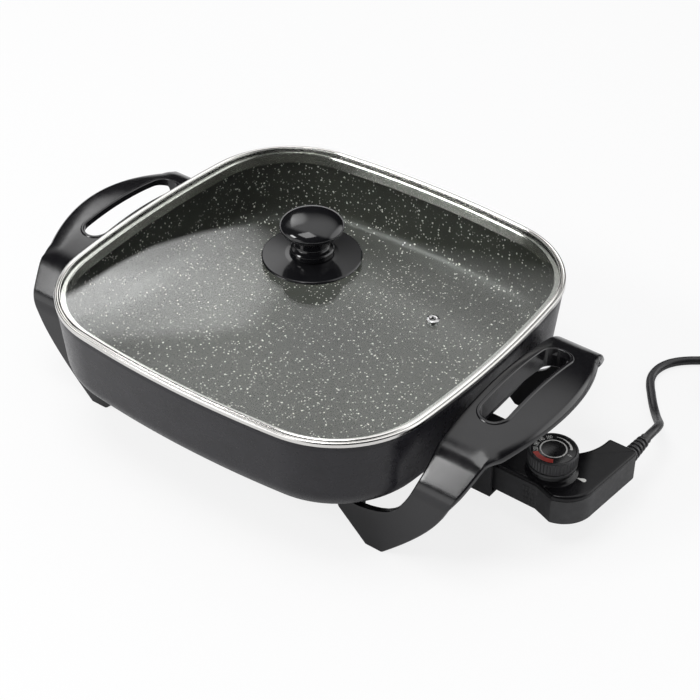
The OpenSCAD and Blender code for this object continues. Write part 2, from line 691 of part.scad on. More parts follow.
module pin_sockets() {
    color([0.8, 0.65, 0.3]) place() for (y = [-1, 1])
        translate([arm_x0 + case_t + 0.2, y * pin_y, pin_h]) rotate([0, 90, 0]) difference() {
            union() {
                cylinder(r = pin_r + 0.9, h = 27);
                translate([-1, -2.4, 26]) cube([2, 4.8, 8]);
            }
            translate([0, 0, -1]) cylinder(r = pin_r + 0.1, h = 27);
        }
}
module dial_shaft() {
    base = ctrl_low + case_t + 5;
    color([0.8, 0.65, 0.3]) place() translate([dial_cx, 0, base])
        cylinder(r = shaft_r, h = dial_low + 7 - base);
}
module dial() {
    r = dial_d / 2;
    turns = 360 / dial_ribs;
    rib_pts = [for (i = [0:dial_ribs - 1]) each [
        on_arc([0, 0], r, turns * i), on_arc([0, 0], r, turns * (i + 0.45)),
        on_arc([0, 0], r - 0.7, turns * (i + 0.55)), on_arc([0, 0], r - 0.7, turns * (i + 0.9))]];
    color([0.05, 0.05, 0.05]) place() translate([dial_cx, 0, dial_low]) difference() {
        union() {
            cylinder(r = r - 0.3, h = 2.2);
            cylinder(r = r - 1.3, h = 4);
            translate([0, 0, 3.2]) linear_extrude(dial_h - 4.4) polygon(rib_pts);
            translate([0, 0, dial_h - 1.2]) cylinder(r1 = r - 0.2, r2 = r - 1, h = 1.2);
        }
        translate([0, 0, dial_h - 0.9]) cylinder(r = r - 1.8, h = 2);
        translate([0, 0, -1]) cylinder(r = shaft_r, h = 8);
    }
}
module dial_plate() {
    color([0.9, 0.9, 0.9]) place() translate([dial_cx, 0, dial_low + dial_h - 0.9])
        cylinder(r = dial_d / 2 - 2, h = 0.7);
}

/* ---- Lead ---- */
relief_len = 30;
relief_y0 = side_y1 - case_t;
relief_end = side_y1 + relief_len;
module strain_relief() {
    r = cord_d / 2;
    ribs = [for (i = [0:4]) let (z = 8 + 4.4 * i, w = 6.2 - 0.3 * i)
        each [[r + 0.9, z - 0.9], [w, z], [w, z + 2.2], [r + 0.9, z + 3]]];
    color([0.06, 0.06, 0.06]) place() translate([side_x, relief_y0, axis_h]) rotate([-90, 0, 0])
        rotate_extrude() polygon(concat([[0, 0], [4.4, 0], [4.4, case_t], [6.2, case_t + 0.2], [6.2, 6]],
            ribs, [[r + 0.8, case_t + relief_len], [0, case_t + relief_len]]));
}

// Route of the lead's middle line from the strain relief to the coil, chosen by hand,
// with the pan's middle as its origin
cord_route = [
    [246, 86, 33.8], [246, 95, 33.3], [245, 104, 30.9], [242.8, 112.5, 26.9], [239.5, 120.5, 21.6],
    [235.3, 128.5, 15.8], [230.5, 136.5, 10.4], [225, 144.8, 6.4], [219, 153.2, 4.2],
    [213, 161.4, 3.5], [207.4, 169.5, 3.5], [202, 177.5, 3.5], [197.9, 185.5, 3.5],
    [195.9, 194.3, 3.5], [196.4, 203.3, 3.5], [199.3, 211.8, 3.5], [204.3, 219.3, 3.5],
    [210.7, 225.7, 3.5], [217.8, 231.2, 3.6], [227, 238.6, 3.9], [236.6, 245.9, 4.3], [246.9, 252.3, 4.5]
];
module cord() {
    color([0.05, 0.05, 0.05]) place() tube(concat(cord_route, [coil_path[0]]), cord_d / 2, 8);
}

// The spare lead: wound clockwise in from the outside, up a layer and out again
coil_c = [278, 221];
coil_gap = 0.6;
coil_low = 1;
coil_start = 115;
coil_turns = 3.347;
wind_r = coil_d / 2 + 4;
wind_step = cord_d + coil_gap;
wind_in = (coil_turns - 0.5) / 2;
per_turn = 24;
coil_steps = round(coil_turns * per_turn);
tail_len = 38;

function climb(t) = min(max((t - wind_in) / 0.5, 0), 1);
function wind_at(t) = wind_r - wind_step * (t < coil_turns / 2 ? t : coil_turns - t);
function wind_point(t) = [
    coil_c[0] + wind_at(t) * cos(coil_start - 360 * t),
    coil_c[1] + wind_at(t) * sin(coil_start - 360 * t),
    coil_low + cord_d / 2 + wind_step * climb(t)
];
function heading(a) = [sin(a), -cos(a), 0];
coil_end = coil_start - 360 * coil_turns;
wound = [for (i = [0:coil_steps]) wind_point(coil_turns * i / coil_steps)];
coil_path = concat(
    [wound[0] - cord_d * heading(coil_start)],
    wound,
    [wound[coil_steps] + (tail_len - cord_d) * heading(coil_end)],
    [wound[coil_steps] + tail_len * heading(coil_end)]);

function near_gap(p, i, skip) = min([for (j = [i + skip:len(p) - 1]) norm(p[i] - p[j])]);
least_gap = min([for (i = [0:coil_steps - 13]) near_gap(wound, i, 12)]) - cord_d;
echo("least gap of the coil to itself, mm", least_gap);
function length_of(p, i = 0) = i < len(p) - 1 ? norm(p[i + 1] - p[i]) + length_of(p, i + 1) : 0;
echo("length of the lead, mm", length_of(cord_route) + length_of(coil_path));

module cord_coil() {
    color([0.05, 0.05, 0.05]) place() tube(coil_path, cord_d / 2, 6);
}
tie_w = 5;
tie_t = 0.7;
tie_turn = 0.5;
tie_r0 = wind_at(tie_turn + 1) - cord_d / 2 - 0.6;
tie_r1 = wind_at(tie_turn) + cord_d / 2 + 0.6;
tie_h = coil_low + wind_step + cord_d + 0.5;
module cord_tie() {
    a = coil_start - 360 * tie_turn;
    color([0.1, 0.1, 0.1]) place() translate([coil_c[0], coil_c[1], 0]) rotate([0, 0, a]) difference() {
        translate([tie_r0 - tie_t, -tie_w / 2, 0]) cube([tie_r1 - tie_r0 + 2 * tie_t, tie_w, tie_h + tie_t]);
        translate([tie_r0, -tie_w, tie_t]) cube([tie_r1 - tie_r0, 2 * tie_w, tie_h - tie_t]);
    }
}

plug_w = 26;
plug_t = 2 * (coil_low + cord_d / 2 + wind_step);
plug_len = 32;
module at_plug() {
    p = wound[coil_steps] + tail_len * heading(coil_end);
    place() translate(p) rotate([0, 0, coil_end - 90]) children();
}
blade_in = 8;
blade_out = 17;
module blades(len_x) {
    for (s = [-1, 1]) translate([plug_len - blade_in, 6.35 * s - 0.75, -3.15]) cube([len_x, 1.5, 6.3]);
}
module plug() {
    color([0.05, 0.05, 0.05]) at_plug() {
        rotate([0, 90, 0]) rotate_extrude() polygon([
            [0, 0], [4.6, 0], [5, 2], [4.7, 3], [5.5, 4], [5.9, 6], [5.4, 7], [6.2, 8], [6.6, 10],
            [6, 11], [7, 12.5], [0, 12.5]
        ]);
        difference() {
            translate([12, 0, 0]) rotate([90, 0, 90]) linear_extrude(plug_len - 12)
                offset(4) square([plug_w - 8, plug_t - 8], center = true);
            blades(blade_in + 1);
        }
    }
}
module plug_blades() {
    color([0.8, 0.78, 0.7]) at_plug() blades(blade_in + blade_out);
}

pan();
heating_element();
terminal_pins();
pin_insulators();
terminal_shroud();
shroud_screws();
right_handle();
left_handle();
leg_screws();
lid_glass();
lid_rim();
vent_grommet();
knob_disc();
lid_knob();
knob_gasket();
knob_washer();
knob_screw();
controller_base();
controller_top();
controller_screws();
thermostat();
heat_probe();
probe_ferrule();
pin_sockets();
neon_lamp();
indicator_lens();
dial_shaft();
dial();
dial_plate();
strain_relief();
cord();
cord_coil();
cord_tie();
plug();
plug_blades();
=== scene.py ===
"""Looks of the electric skillet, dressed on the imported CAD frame.

Sizes are in mm from the middle of the pan at table height, +X towards the controller, unless a comment
says metres. at_mm() turns such a point into metres in the row frame.
"""
import math

import bmesh
import bpy
from mathutils import Matrix, Vector


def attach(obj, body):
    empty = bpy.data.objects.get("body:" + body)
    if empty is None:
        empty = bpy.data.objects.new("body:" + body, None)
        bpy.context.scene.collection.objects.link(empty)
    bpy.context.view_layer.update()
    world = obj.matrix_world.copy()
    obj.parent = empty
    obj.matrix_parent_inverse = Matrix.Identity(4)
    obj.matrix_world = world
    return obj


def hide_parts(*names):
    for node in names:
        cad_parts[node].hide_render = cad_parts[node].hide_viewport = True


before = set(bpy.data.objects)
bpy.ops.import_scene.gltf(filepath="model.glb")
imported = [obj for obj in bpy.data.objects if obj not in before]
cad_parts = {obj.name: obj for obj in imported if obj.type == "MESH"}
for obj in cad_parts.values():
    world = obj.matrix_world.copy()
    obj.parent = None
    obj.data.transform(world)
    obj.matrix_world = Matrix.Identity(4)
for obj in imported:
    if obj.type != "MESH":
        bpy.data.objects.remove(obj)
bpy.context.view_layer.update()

MM = 0.001
FRAME_X = -15.0          # the pan's middle in the row frame


def at_mm(x, y, z):
    """A point given from the middle of the pan, as metres in the row frame."""
    return Vector(((x + FRAME_X) * MM, y * MM, z * MM))


def placed(name, data):
    """A new object in the scene."""
    o = bpy.data.objects.new(name, data)
    bpy.context.scene.collection.objects.link(o)
    return o


# ---------------------------------------------------------------- camera, as solved from the photograph
EYE = Vector((0.6678, -0.8778, 0.9123))          # metres, row frame
RIGHT = Vector((0.80086, 0.59879, 0.00882))
UP = Vector((-0.37149, 0.48519, 0.79157))
BACK = Vector((0.46970, -0.63721, 0.61101))

camera_data = bpy.data.cameras.new("camera")
camera_data.sensor_width = 36
camera_data.lens = 94.01
camera_data.clip_start = 0.05
camera = placed("camera", camera_data)
camera.matrix_world = Matrix([(*row, 1) for row in (RIGHT, UP, BACK, EYE)]).transposed()
camera.matrix_world[3] = (0, 0, 0, 1)
bpy.context.scene.camera = camera


# ---------------------------------------------------------------- node helpers
def nodes_of(name):
    """A new node material: itself, its tree, its shader and its output."""
    m = bpy.data.materials.new(name)
    m.use_nodes = True
    tree = m.node_tree
    return m, tree, tree.nodes["Principled BSDF"], tree.nodes["Material Output"]


def noise(tree, coord, scale, detail=3.0, rough=0.55):
    n = tree.nodes.new("ShaderNodeTexNoise")
    n.inputs["Scale"].default_value = scale
    n.inputs["Detail"].default_value = detail
    n.inputs["Roughness"].default_value = rough
    tree.links.new(coord, n.inputs["Vector"])
    return n.outputs["Fac"]


def ramp(tree, fac, stops):
    """A colour ramp through stops of (place, colour)."""
    r = tree.nodes.new("ShaderNodeValToRGB")
    while len(r.color_ramp.elements) < len(stops):
        r.color_ramp.elements.new(0.5)
    for element, (at, colour) in zip(r.color_ramp.elements, stops):
        element.position = at
        element.color = (*colour, 1)
    tree.links.new(fac, r.inputs["Fac"])
    return r.outputs["Color"]


def level(tree, fac, low, high, a=0.3, b=0.7):
    """fac from a to b, mapped to low to high and clamped."""
    r = tree.nodes.new("ShaderNodeMapRange")
    for key, v in (("From Min", a), ("From Max", b), ("To Min", low), ("To Max", high)):
        r.inputs[key].default_value = v
    tree.links.new(fac, r.inputs["Value"])
    return r.outputs["Result"]


def math_node(tree, op, a, b):
    """A math node over two numbers or sockets."""
    n = tree.nodes.new("ShaderNodeMath")
    n.operation = op
    for i, v in enumerate((a, b)):
        if isinstance(v, (int, float)):
            n.inputs[i].default_value = v
        else:
            tree.links.new(v, n.inputs[i])
    return n.outputs["Value"]


def colour_mix(tree, fac, first, second):
    """A colour that goes from first to second. Each is a socket or a constant, and fac may be either too."""
    n = tree.nodes.new("ShaderNodeMixRGB")
    for key, v in (("Fac", fac), ("Color1", first), ("Color2", second)):
        if isinstance(v, (float, tuple)):
            n.inputs[key].default_value = v
        else:
            tree.links.new(v, n.inputs[key])
    return n.outputs["Color"]


def object_coord(tree):
    return tree.nodes.new("ShaderNodeTexCoord").outputs["Object"]


def bump(tree, shader, height, strength, distance):
    b = tree.nodes.new("ShaderNodeBump")
    b.inputs["Strength"].default_value = strength
    b.inputs["Distance"].default_value = distance
    tree.links.new(height, b.inputs["Height"])
    tree.links.new(b.outputs["Normal"], shader.inputs["Normal"])


# ---------------------------------------------------------------- materials
def plain(name, dark, light, rough, grain=900, depth=0.00003, strength=0.25, ior=1.5, mottle=60):
    """A moulded or coated surface: mottled colour, uneven gloss and a fine grain."""
    material, tree, shader, _ = nodes_of(name)
    c = object_coord(tree)
    colour = ramp(tree, noise(tree, c, mottle), [(0.3, dark), (0.7, light)])
    tree.links.new(colour, shader.inputs["Base Color"])
    tree.links.new(level(tree, noise(tree, c, mottle * 2.5), *rough), shader.inputs["Roughness"])
    shader.inputs["IOR"].default_value = ior
    bump(tree, shader, noise(tree, c, grain, 2), strength, depth)
    return material


def speckles(tree, coord, scale, size, share):
    """A mask of ragged dots: one in each cell of a Voronoi pattern whose random value is past share."""
    shift = tree.nodes.new("ShaderNodeTexNoise")
    shift.inputs["Scale"].default_value = scale * 2.3
    tree.links.new(coord, shift.inputs["Vector"])
    cells = tree.nodes.new("ShaderNodeTexVoronoi")
    cells.inputs["Scale"].default_value = scale
    tree.links.new(colour_mix(tree, 0.0016, coord, shift.outputs["Color"]), cells.inputs["Vector"])
    near = level(tree, cells.outputs["Distance"], 1, 0, size * 0.6, size)
    parts = tree.nodes.new("ShaderNodeSeparateColor")
    tree.links.new(cells.outputs["Color"], parts.inputs["Color"])
    chosen = level(tree, parts.outputs["Red"], 0, 1, share, share + 0.12)
    return math_node(tree, "MULTIPLY", near, chosen)


def granite(name):
    """Non-stick coating with cream speckles in three sizes."""
    material, tree, shader, _ = nodes_of(name)
    c = object_coord(tree)
    base = ramp(tree, noise(tree, c, 35), [(0.3, (0.026, 0.027, 0.022)), (0.7, (0.036, 0.037, 0.031))])
    dots = speckles(tree, c, 290, 0.25, 0.60)
    for scale, size, share in ((460, 0.27, 0.62), (150, 0.13, 0.62)):
        dots = math_node(tree, "MAXIMUM", dots, speckles(tree, c, scale, size, share))
    tree.links.new(colour_mix(tree, dots, base, (0.90, 0.89, 0.82, 1)), shader.inputs["Base Color"])
    tree.links.new(level(tree, noise(tree, c, 90), 0.34, 0.46), shader.inputs["Roughness"])
    bump(tree, shader, noise(tree, c, 1500, 2), 0.2, 0.00003)
    return material


def clear_glass(name, tint):
    """Tempered glass that lets the lamps through."""
    material, tree, shader, out = nodes_of(name)
    brighter = tuple(min(1, v * 1.01) for v in tint)
    tree.links.new(ramp(tree, noise(tree, object_coord(tree), 6), [(0.3, tint), (0.7, brighter)]),
                   shader.inputs["Base Color"])
    shader.inputs["Transmission Weight"].default_value = 1
    shader.inputs["Roughness"].default_value = 0.012
    shader.inputs["IOR"].default_value = 1.47
    rays = tree.nodes.new("ShaderNodeLightPath")
    see_through = tree.nodes.new("ShaderNodeBsdfTransparent")
    see_through.inputs["Color"].default_value = (0.86, 0.88, 0.86, 1)
    mix = tree.nodes.new("ShaderNodeMixShader")
    tree.links.new(rays.outputs["Is Shadow Ray"], mix.inputs["Fac"])
    tree.links.new(shader.outputs["BSDF"], mix.inputs[1])
    tree.links.new(see_through.outputs["BSDF"], mix.inputs[2])
    tree.links.new(mix.outputs["Shader"], out.inputs["Surface"])
    return material


def brushed(name, dark, light, rough, stretch=(1, 1, 1), scale=420, relief=0.12, detail=4):
    """Bare metal with a fine grain, which stretch makes directional."""
    material, tree, shader, _ = nodes_of(name)
    mapping = tree.nodes.new("ShaderNodeMapping")
    mapping.inputs["Scale"].default_value = stretch
    tree.links.new(object_coord(tree), mapping.inputs["Vector"])
    grain = noise(tree, mapping.outputs["Vector"], scale, detail, 0.6)
    tree.links.new(ramp(tree, grain, [(0.3, dark), (0.7, light)]), shader.inputs["Base Color"])
    tree.links.new(level(tree, grain, *rough), shader.inputs["Roughness"])
    shader.inputs["Metallic"].default_value = 1
    bump(tree, shader, grain, relief, 0.00002)
    return material


LOOK = {
    "coat_out": plain("pan_outside", (0.0125, 0.012, 0.0145), (0.0175, 0.0168, 0.0205), (0.24, 0.33),
                      ior=1.36, grain=1300, depth=0.00002, strength=0.12),
    "coat_in": granite("pan_inside"),
    "steel": brushed("rim_steel", (0.61, 0.60, 0.58), (0.69, 0.68, 0.66), (0.13, 0.18),
                     scale=26, relief=0.0, detail=1),
    "eyelet": brushed("eyelet_steel", (0.42, 0.42, 0.42), (0.55, 0.55, 0.55), (0.2, 0.3), (1, 1, 3)),
    "plated": brushed("plated_steel", (0.48, 0.47, 0.44), (0.62, 0.61, 0.58), (0.25, 0.40)),
    "sheath": brushed("heater_sheath", (0.16, 0.145, 0.135), (0.30, 0.28, 0.26), (0.38, 0.55)),
    "brass": brushed("brass", (0.58, 0.42, 0.18), (0.72, 0.55, 0.27), (0.22, 0.36)),
    "glass": clear_glass("lid_glass", (0.93, 0.95, 0.93)),
    "lamp": clear_glass("lamp_glass", (0.95, 0.60, 0.35)),
    "gloss": plain("gloss_black", (0.006, 0.0058, 0.0066), (0.0085, 0.0083, 0.0095), (0.14, 0.22),
                   grain=700, depth=0.00001, strength=0.1, ior=1.3),
    "knob": plain("knob_black", (0.006, 0.006, 0.007), (0.009, 0.009, 0.010), (0.09, 0.13),
                  grain=500, depth=0.000008, strength=0.04),
    "handle": plain("handle_black", (0.006, 0.0058, 0.0068), (0.009, 0.0087, 0.0102), (0.15, 0.21),
                    grain=1100, depth=0.00001, strength=0.06),
    "satin": plain("satin_black", (0.016, 0.016, 0.017), (0.026, 0.026, 0.028), (0.42, 0.55),
                   grain=1600, depth=0.00008, strength=0.35),
    "print_black": plain("dial_face", (0.009, 0.009, 0.010), (0.013, 0.013, 0.014), (0.2, 0.3),
                         depth=0.00001, strength=0.1),
    "print_white": plain("print_white", (0.66, 0.66, 0.64), (0.78, 0.78, 0.75), (0.3, 0.42), mottle=200,
                         grain=1500, depth=0.00001),
    "print_red": plain("print_red", (0.42, 0.030, 0.022), (0.58, 0.052, 0.036), (0.3, 0.42), mottle=200,
                       grain=1500, depth=0.00001),
    "lens": plain("lens_white", (0.72, 0.72, 0.69), (0.84, 0.84, 0.80), (0.12, 0.2), mottle=150,
                  depth=0.00001),
    "ceramic": plain("ceramic", (0.60, 0.56, 0.47), (0.74, 0.70, 0.61), (0.5, 0.7), mottle=150,
                     grain=1500, depth=0.0001),
    "rubber": plain("seal_rubber", (0.016, 0.016, 0.016), (0.028, 0.028, 0.028), (0.55, 0.7),
                    grain=1400, depth=0.00005),
    "lead": plain("lead_sheath", (0.012, 0.012, 0.013), (0.019, 0.019, 0.021), (0.32, 0.44),
                  grain=1200, depth=0.00004),
}


# ---------------------------------------------------------------- pieces
# A shape is a pair: a list of points in mm and a list of faces.
def piece(name, shape, look, body, smooth=40, replaces=(), second=None, second_faces=()):
    """A new piece from a shape. second is the look of the faces that second_faces lists."""
    points, faces = shape
    mesh = bpy.data.meshes.new(name)
    mesh.from_pydata([at_mm(*p) for p in points], [], faces)
    mesh.validate()
    return dress(placed(name, mesh), look, body, smooth, replaces, second, second_faces)


def dress(o, look, body, smooth, replaces=(), second=None, second_faces=()):
    """Shading, sharp edges past smooth degrees, materials and the place in the frame."""
    mesh = o.data
    bm = bmesh.new()
    bm.from_mesh(mesh)
    bmesh.ops.recalc_face_normals(bm, faces=bm.faces)
    for edge in bm.edges:
        edge.smooth = len(edge.link_faces) != 2 or edge.calc_face_angle(0) < math.radians(smooth)
    for face in bm.faces:
        face.smooth = True
    bm.to_mesh(mesh)
    bm.free()
    mesh.materials.append(LOOK[look])
    if second is not None:
        mesh.materials.append(LOOK[second])
        for index in second_faces:
            mesh.polygons[index].material_index = 1
    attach(o, body)
    if replaces:
        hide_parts(*replaces)
    return o


def even(o):
    """Corner normals weighted by face area, so that flats stay flat beside small roundings."""
    weighted = o.modifiers.new("even", "WEIGHTED_NORMAL")
    weighted.keep_sharp = True
    return o


# ---------------------------------------------------------------- lines and shapes
def arc(cx, cy, r, a, b, n):
    """Points on an arc from angle a to angle b, in degrees."""
    return [(cx + r * math.cos(math.radians(a + (b - a) * i / n)),
             cy + r * math.sin(math.radians(a + (b - a) * i / n))) for i in range(n + 1)]


def bend(a, b, c, n):
    """Points on a curve from a to c that heads for b at both ends."""
    return [tuple((1 - t) ** 2 * p + 2 * t * (1 - t) * q + t * t * r for p, q, r in zip(a, b, c))
            for t in (i / n for i in range(n + 1))]


def rounded(points, radii, closed=True, n=4):
    """A 2-D line with its corners rounded. radii is one number or one for each point."""
    out = []
    count = len(points)
    for i, p in enumerate(points):
        r = radii[i] if isinstance(radii, (list, tuple)) else radii
        if r <= 0 or (not closed and i in (0, count - 1)):
            out.append(tuple(p))
            continue
        before, corner, after = Vector(points[i - 1]), Vector(p), Vector(points[(i + 1) % count])
        u, v = before - corner, after - corner
        length_u, length_v = u.length, v.length
        u.normalize()
        v.normalize()
        half = math.acos(max(-1, min(1, u.dot(v)))) / 2
        if half > math.radians(88):
            out.append(tuple(p))
            continue
        cut = min(r / math.tan(half), length_u * 0.48, length_v * 0.48)
        start, end = corner + u * cut, corner + v * cut
        for k in range(n + 1):
            w = k / n
            out.append(tuple((1 - w) ** 2 * start + 2 * w * (1 - w) * corner + w ** 2 * end))
    return out


def spline_points(points, per=4):
    """A smooth line through the points, with per steps to each."""
    pts = [Vector(p) for p in points]
    out = []
    for i in range(len(pts) - 1):
        p0, p1 = pts[max(i - 1, 0)], pts[i]
        p2, p3 = pts[i + 1], pts[min(i + 2, len(pts) - 1)]
        for k in range(per):
            t = k / per
            out.append(0.5 * (2 * p1 + (p2 - p0) * t + (2 * p0 - 5 * p1 + 4 * p2 - p3) * t * t
                              + (3 * p1 - p0 - 3 * p2 + p3) * t ** 3))
    return out + [pts[-1]]


def moved(shape, x=0, y=0, z=0):
    points, faces = shape
    return [(p[0] + x, p[1] + y, p[2] + z) for p in points], faces


def mirrored(shape):
    """The shape on the other side of the pan."""
    points, faces = shape
    return [(-x, y, z) for x, y, z in points], faces


def joined(shapes):
    points, faces = [], []
    for some_points, some_faces in shapes:
        faces += [tuple(len(points) + i for i in face) for face in some_faces]
        points += some_points
    return points, faces


def lathe(profile, n=96):
    """A (radius, height) line turned round Z."""
    points, faces, rows = [], [], []
    for r, z in profile:
        if r < 1e-6:
            rows.append([len(points)])
            points.append((0, 0, z))
        else:
            rows.append(list(range(len(points), len(points) + n)))
            points += [(r * math.cos(2 * math.pi * k / n), r * math.sin(2 * math.pi * k / n), z)
                       for k in range(n)]
    for a, b in zip(rows, rows[1:]):
        for k in range(n):
            q = (k + 1) % n
            if len(a) == 1 and len(b) == 1:
                continue
            if len(a) == 1:
                faces.append((a[0], b[q], b[k]))
            elif len(b) == 1:
                faces.append((a[k], a[q], b[0]))
            else:
                faces.append((a[k], a[q], b[q], b[k]))
    return points, faces


def loft(rings, wrap=False, caps=False):
    """A skin over closed rings with the same count of points."""
    points = [p for ring in rings for p in ring]
    n, m = len(rings[0]), len(rings)
    faces = []
    for j in range(m if wrap else m - 1):
        for i in range(n):
            a, b = j * n + i, j * n + (i + 1) % n
            c, d = ((j + 1) % m) * n + (i + 1) % n, ((j + 1) % m) * n + i
            faces.append((a, b, c, d))
    if caps:
        faces.append(tuple(range(n)))
        faces.append(tuple((m - 1) * n + i for i in range(n)))
    return points, faces


def bar(x0, x1, y0, y1, z0, z1, r, steps=4):
    """A block along X with all its edges rounded."""
    section = rounded([(y0, z0), (y1, z0), (y1, z1), (y0, z1)], r, n=steps)
    mid_y, mid_z = (y0 + y1) / 2, (z0 + z1) / 2

    def ring_at(x, inset):
        share_y, share_z = 1 - inset / ((y1 - y0) / 2), 1 - inset / ((z1 - z0) / 2)
        return [(x, mid_y + (y - mid_y) * share_y, mid_z + (z - mid_z) * share_z) for y, z in section]
    e = min(r, 1.2)
    return loft([ring_at(x0, e), ring_at(x0 + e * 0.3, e * 0.3), ring_at(x0 + e, 0),
                 ring_at(x1 - e, 0), ring_at(x1 - e * 0.3, e * 0.3), ring_at(x1, e)], caps=True)


# ---------------------------------------------------------------- sizes
# All are the part's own, but KNOB_R is 0.5 more
HALF_X, HALF_Y, CORNER_R, SIDE_R = 165.0, 161.0, 81.0, 820.0          # the rim's outline
RIM_H, DEPTH, WALL, FLOOR_T, LEAN, BASE_R, LAND_W = 121.0, 65.0, 3.0, 4.5, 4.0, 20.0, 5.3
WALL_OFF = -1.2            # the pan's outer face under the steel edge, as an offset of the outline
DOME_H, GLASS_T, GLASS_OFF = 19.6, 3.0, -3.7
BAND_T, BAND_W, SKIRT_H = 0.8, 4.8, 8.4
VENT_X = 109.0
KNOB_R, KNOB_NECK_R, KNOB_H, KNOB_HEAD_H = 24.0, 12.5, 32.0, 17.6
DISC_R, DISC_T = 37.5, 3.6
GLASS_TOP = RIM_H - 0.3
LAND_H = GLASS_TOP - GLASS_T - 0.1 - BAND_T
PAN_LOW = LAND_H - DEPTH
FLOOR_H = PAN_LOW + FLOOR_T
POST_X, POST_Y, POST_R, POST_LOW = HALF_X - 53, 92.5, 6.5, PAN_LOW - 19
PIN_H = PAN_LOW - 0.3 - 4 - 9.7
BOSS_X0, BOSS_X1, BOSS_HALF = 87, 119, 5.9
CTRL_TOP = PIN_H + 9
CTRL_LOW = CTRL_TOP - 26
AXIS_H = CTRL_TOP - 13     # the lead's height at the controller
DIAL_X, ARM_X0, ARM_HALF = HALF_X + 51, 150, 17
DIAL_R, DIAL_H = 18.25, 13.5
CTRL_X1 = DIAL_X + 39
SIDE_X = CTRL_X1 - 9
SIDE_Y1 = 56.0
DISC_LOW = GLASS_TOP + DOME_H + 1.2
DISC_TOP = DISC_LOW + DISC_T
DIAL_LOW = CTRL_TOP + 6.4 + 0.3

# The rim's outline has corner arcs that meet the bowed sides smoothly: the corner's centre is as far from
# both sides' centres
side_cx, side_cy = HALF_X - SIDE_R, HALF_Y - SIDE_R
centre_gap = SIDE_R - CORNER_R
slope = side_cx / side_cy
foot = (side_cy ** 2 - side_cx ** 2) / (2 * side_cy)
qa, qb, qc = 1 + slope * slope, 2 * slope * foot - 2 * side_cx, side_cx ** 2 + foot * foot - centre_gap ** 2
corner_x = (-qb + math.sqrt(qb * qb - 4 * qa * qc)) / (2 * qa)
corner_y = slope * corner_x + foot
ang_x = math.atan2(corner_y, corner_x - side_cx)
ang_y = math.atan2(corner_x, corner_y - side_cy)


def outline(off, ns=14, nc=22):
    """The rim outline moved outwards by off, anticlockwise from +X, with ns steps on half a side."""
    def on(cx, cy, r, a0, a1, n):
        return [(cx + r * math.cos(a0 + (a1 - a0) * i / n), cy + r * math.sin(a0 + (a1 - a0) * i / n))
                for i in range(n)]
    quarter = (on(side_cx, 0, SIDE_R + off, 0, ang_x, ns)
               + on(corner_x, corner_y, CORNER_R + off, ang_x, math.pi / 2 - ang_y, nc)
               + on(0, side_cy, SIDE_R + off, math.pi / 2 - ang_y, math.pi / 2, ns))
    top = HALF_Y + off
    back = quarter[:0:-1]
    return (quarter + [(0.0, top)] + [(-x, y) for x, y in back]
            + [(-x, -y) for x, y in quarter] + [(0.0, -top)] + [(x, -y) for x, y in back])


def around(section, wrap=True, caps=False):
    """A section of (offset, height) carried round the rim's outline."""
    return loft([[(x, y, z) for x, y in outline(off)] for off, z in section], wrap, caps)


# ---------------------------------------------------------------- the lead, declared first
ROUTE = [
    (246, 86, 33.8), (246, 95, 33.3), (245, 104, 30.9), (242.8, 112.5, 26.9), (239.5, 120.5, 21.6),
    (235.3, 128.5, 15.8), (230.5, 136.5, 10.4), (225, 144.8, 6.4), (219, 153.2, 4.2),
    (213, 161.4, 3.5), (207.4, 169.5, 3.5), (202, 177.5, 3.5), (197.9, 185.5, 3.5),
    (195.9, 194.3, 3.5), (196.4, 203.3, 3.5), (199.3, 211.8, 3.5), (204.3, 219.3, 3.5),
    (210.7, 225.7, 3.5), (217.8, 231.2, 3.6), (227, 238.6, 3.9), (236.6, 245.9, 4.3), (246.9, 252.3, 4.5)]
CORD_D, COIL_X, COIL_Y, COIL_START, COIL_TURNS, COIL_LOW = 7.0, 278, 221, 115, 3.347, 1.0
WIND_R, STEP, TAIL = 41.5, 7.6, 38.0


def wind_point(t):
    """The coil after t turns: inwards along the table, then up one step and outwards."""
    r = WIND_R - STEP * (t if t < COIL_TURNS / 2 else COIL_TURNS - t)
    a = math.radians(COIL_START - 360 * t)
    climb = min(max((t - (COIL_TURNS - 0.5) / 2) / 0.5, 0), 1)
    return Vector((COIL_X + r * math.cos(a), COIL_Y + r * math.sin(a),
                   COIL_LOW + CORD_D / 2 + STEP * climb))


def heading(degrees):
    """The way along the coil at an angle."""
    a = math.radians(degrees)
    return Vector((math.sin(a), -math.cos(a), 0))


turns = [wind_point(COIL_TURNS * i / 160) for i in range(161)]
joint = wind_point(0) - CORD_D * heading(COIL_START)
way_out = heading(COIL_START - 360 * COIL_TURNS)
line = spline_points(ROUTE + [tuple(joint)]) + turns
line += [turns[-1] + way_out * TAIL * k / 6 for k in range(1, 7)]
curve = bpy.data.curves.new("mains_lead", "CURVE")
curve.dimensions = "3D"
curve.bevel_depth = CORD_D / 2 * MM
curve.bevel_resolution = 5
curve.use_fill_caps = True
spline = curve.splines.new("POLY")
spline.points.add(len(line) - 1)
for spline_point, p in zip(spline.points, line):
    spline_point.co = (*at_mm(*p), 1)
spline.use_smooth = True
lead = placed("mains_lead", curve)
curve.materials.append(LOOK["lead"])
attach(lead, "controller")
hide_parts("cord", "cord_coil")


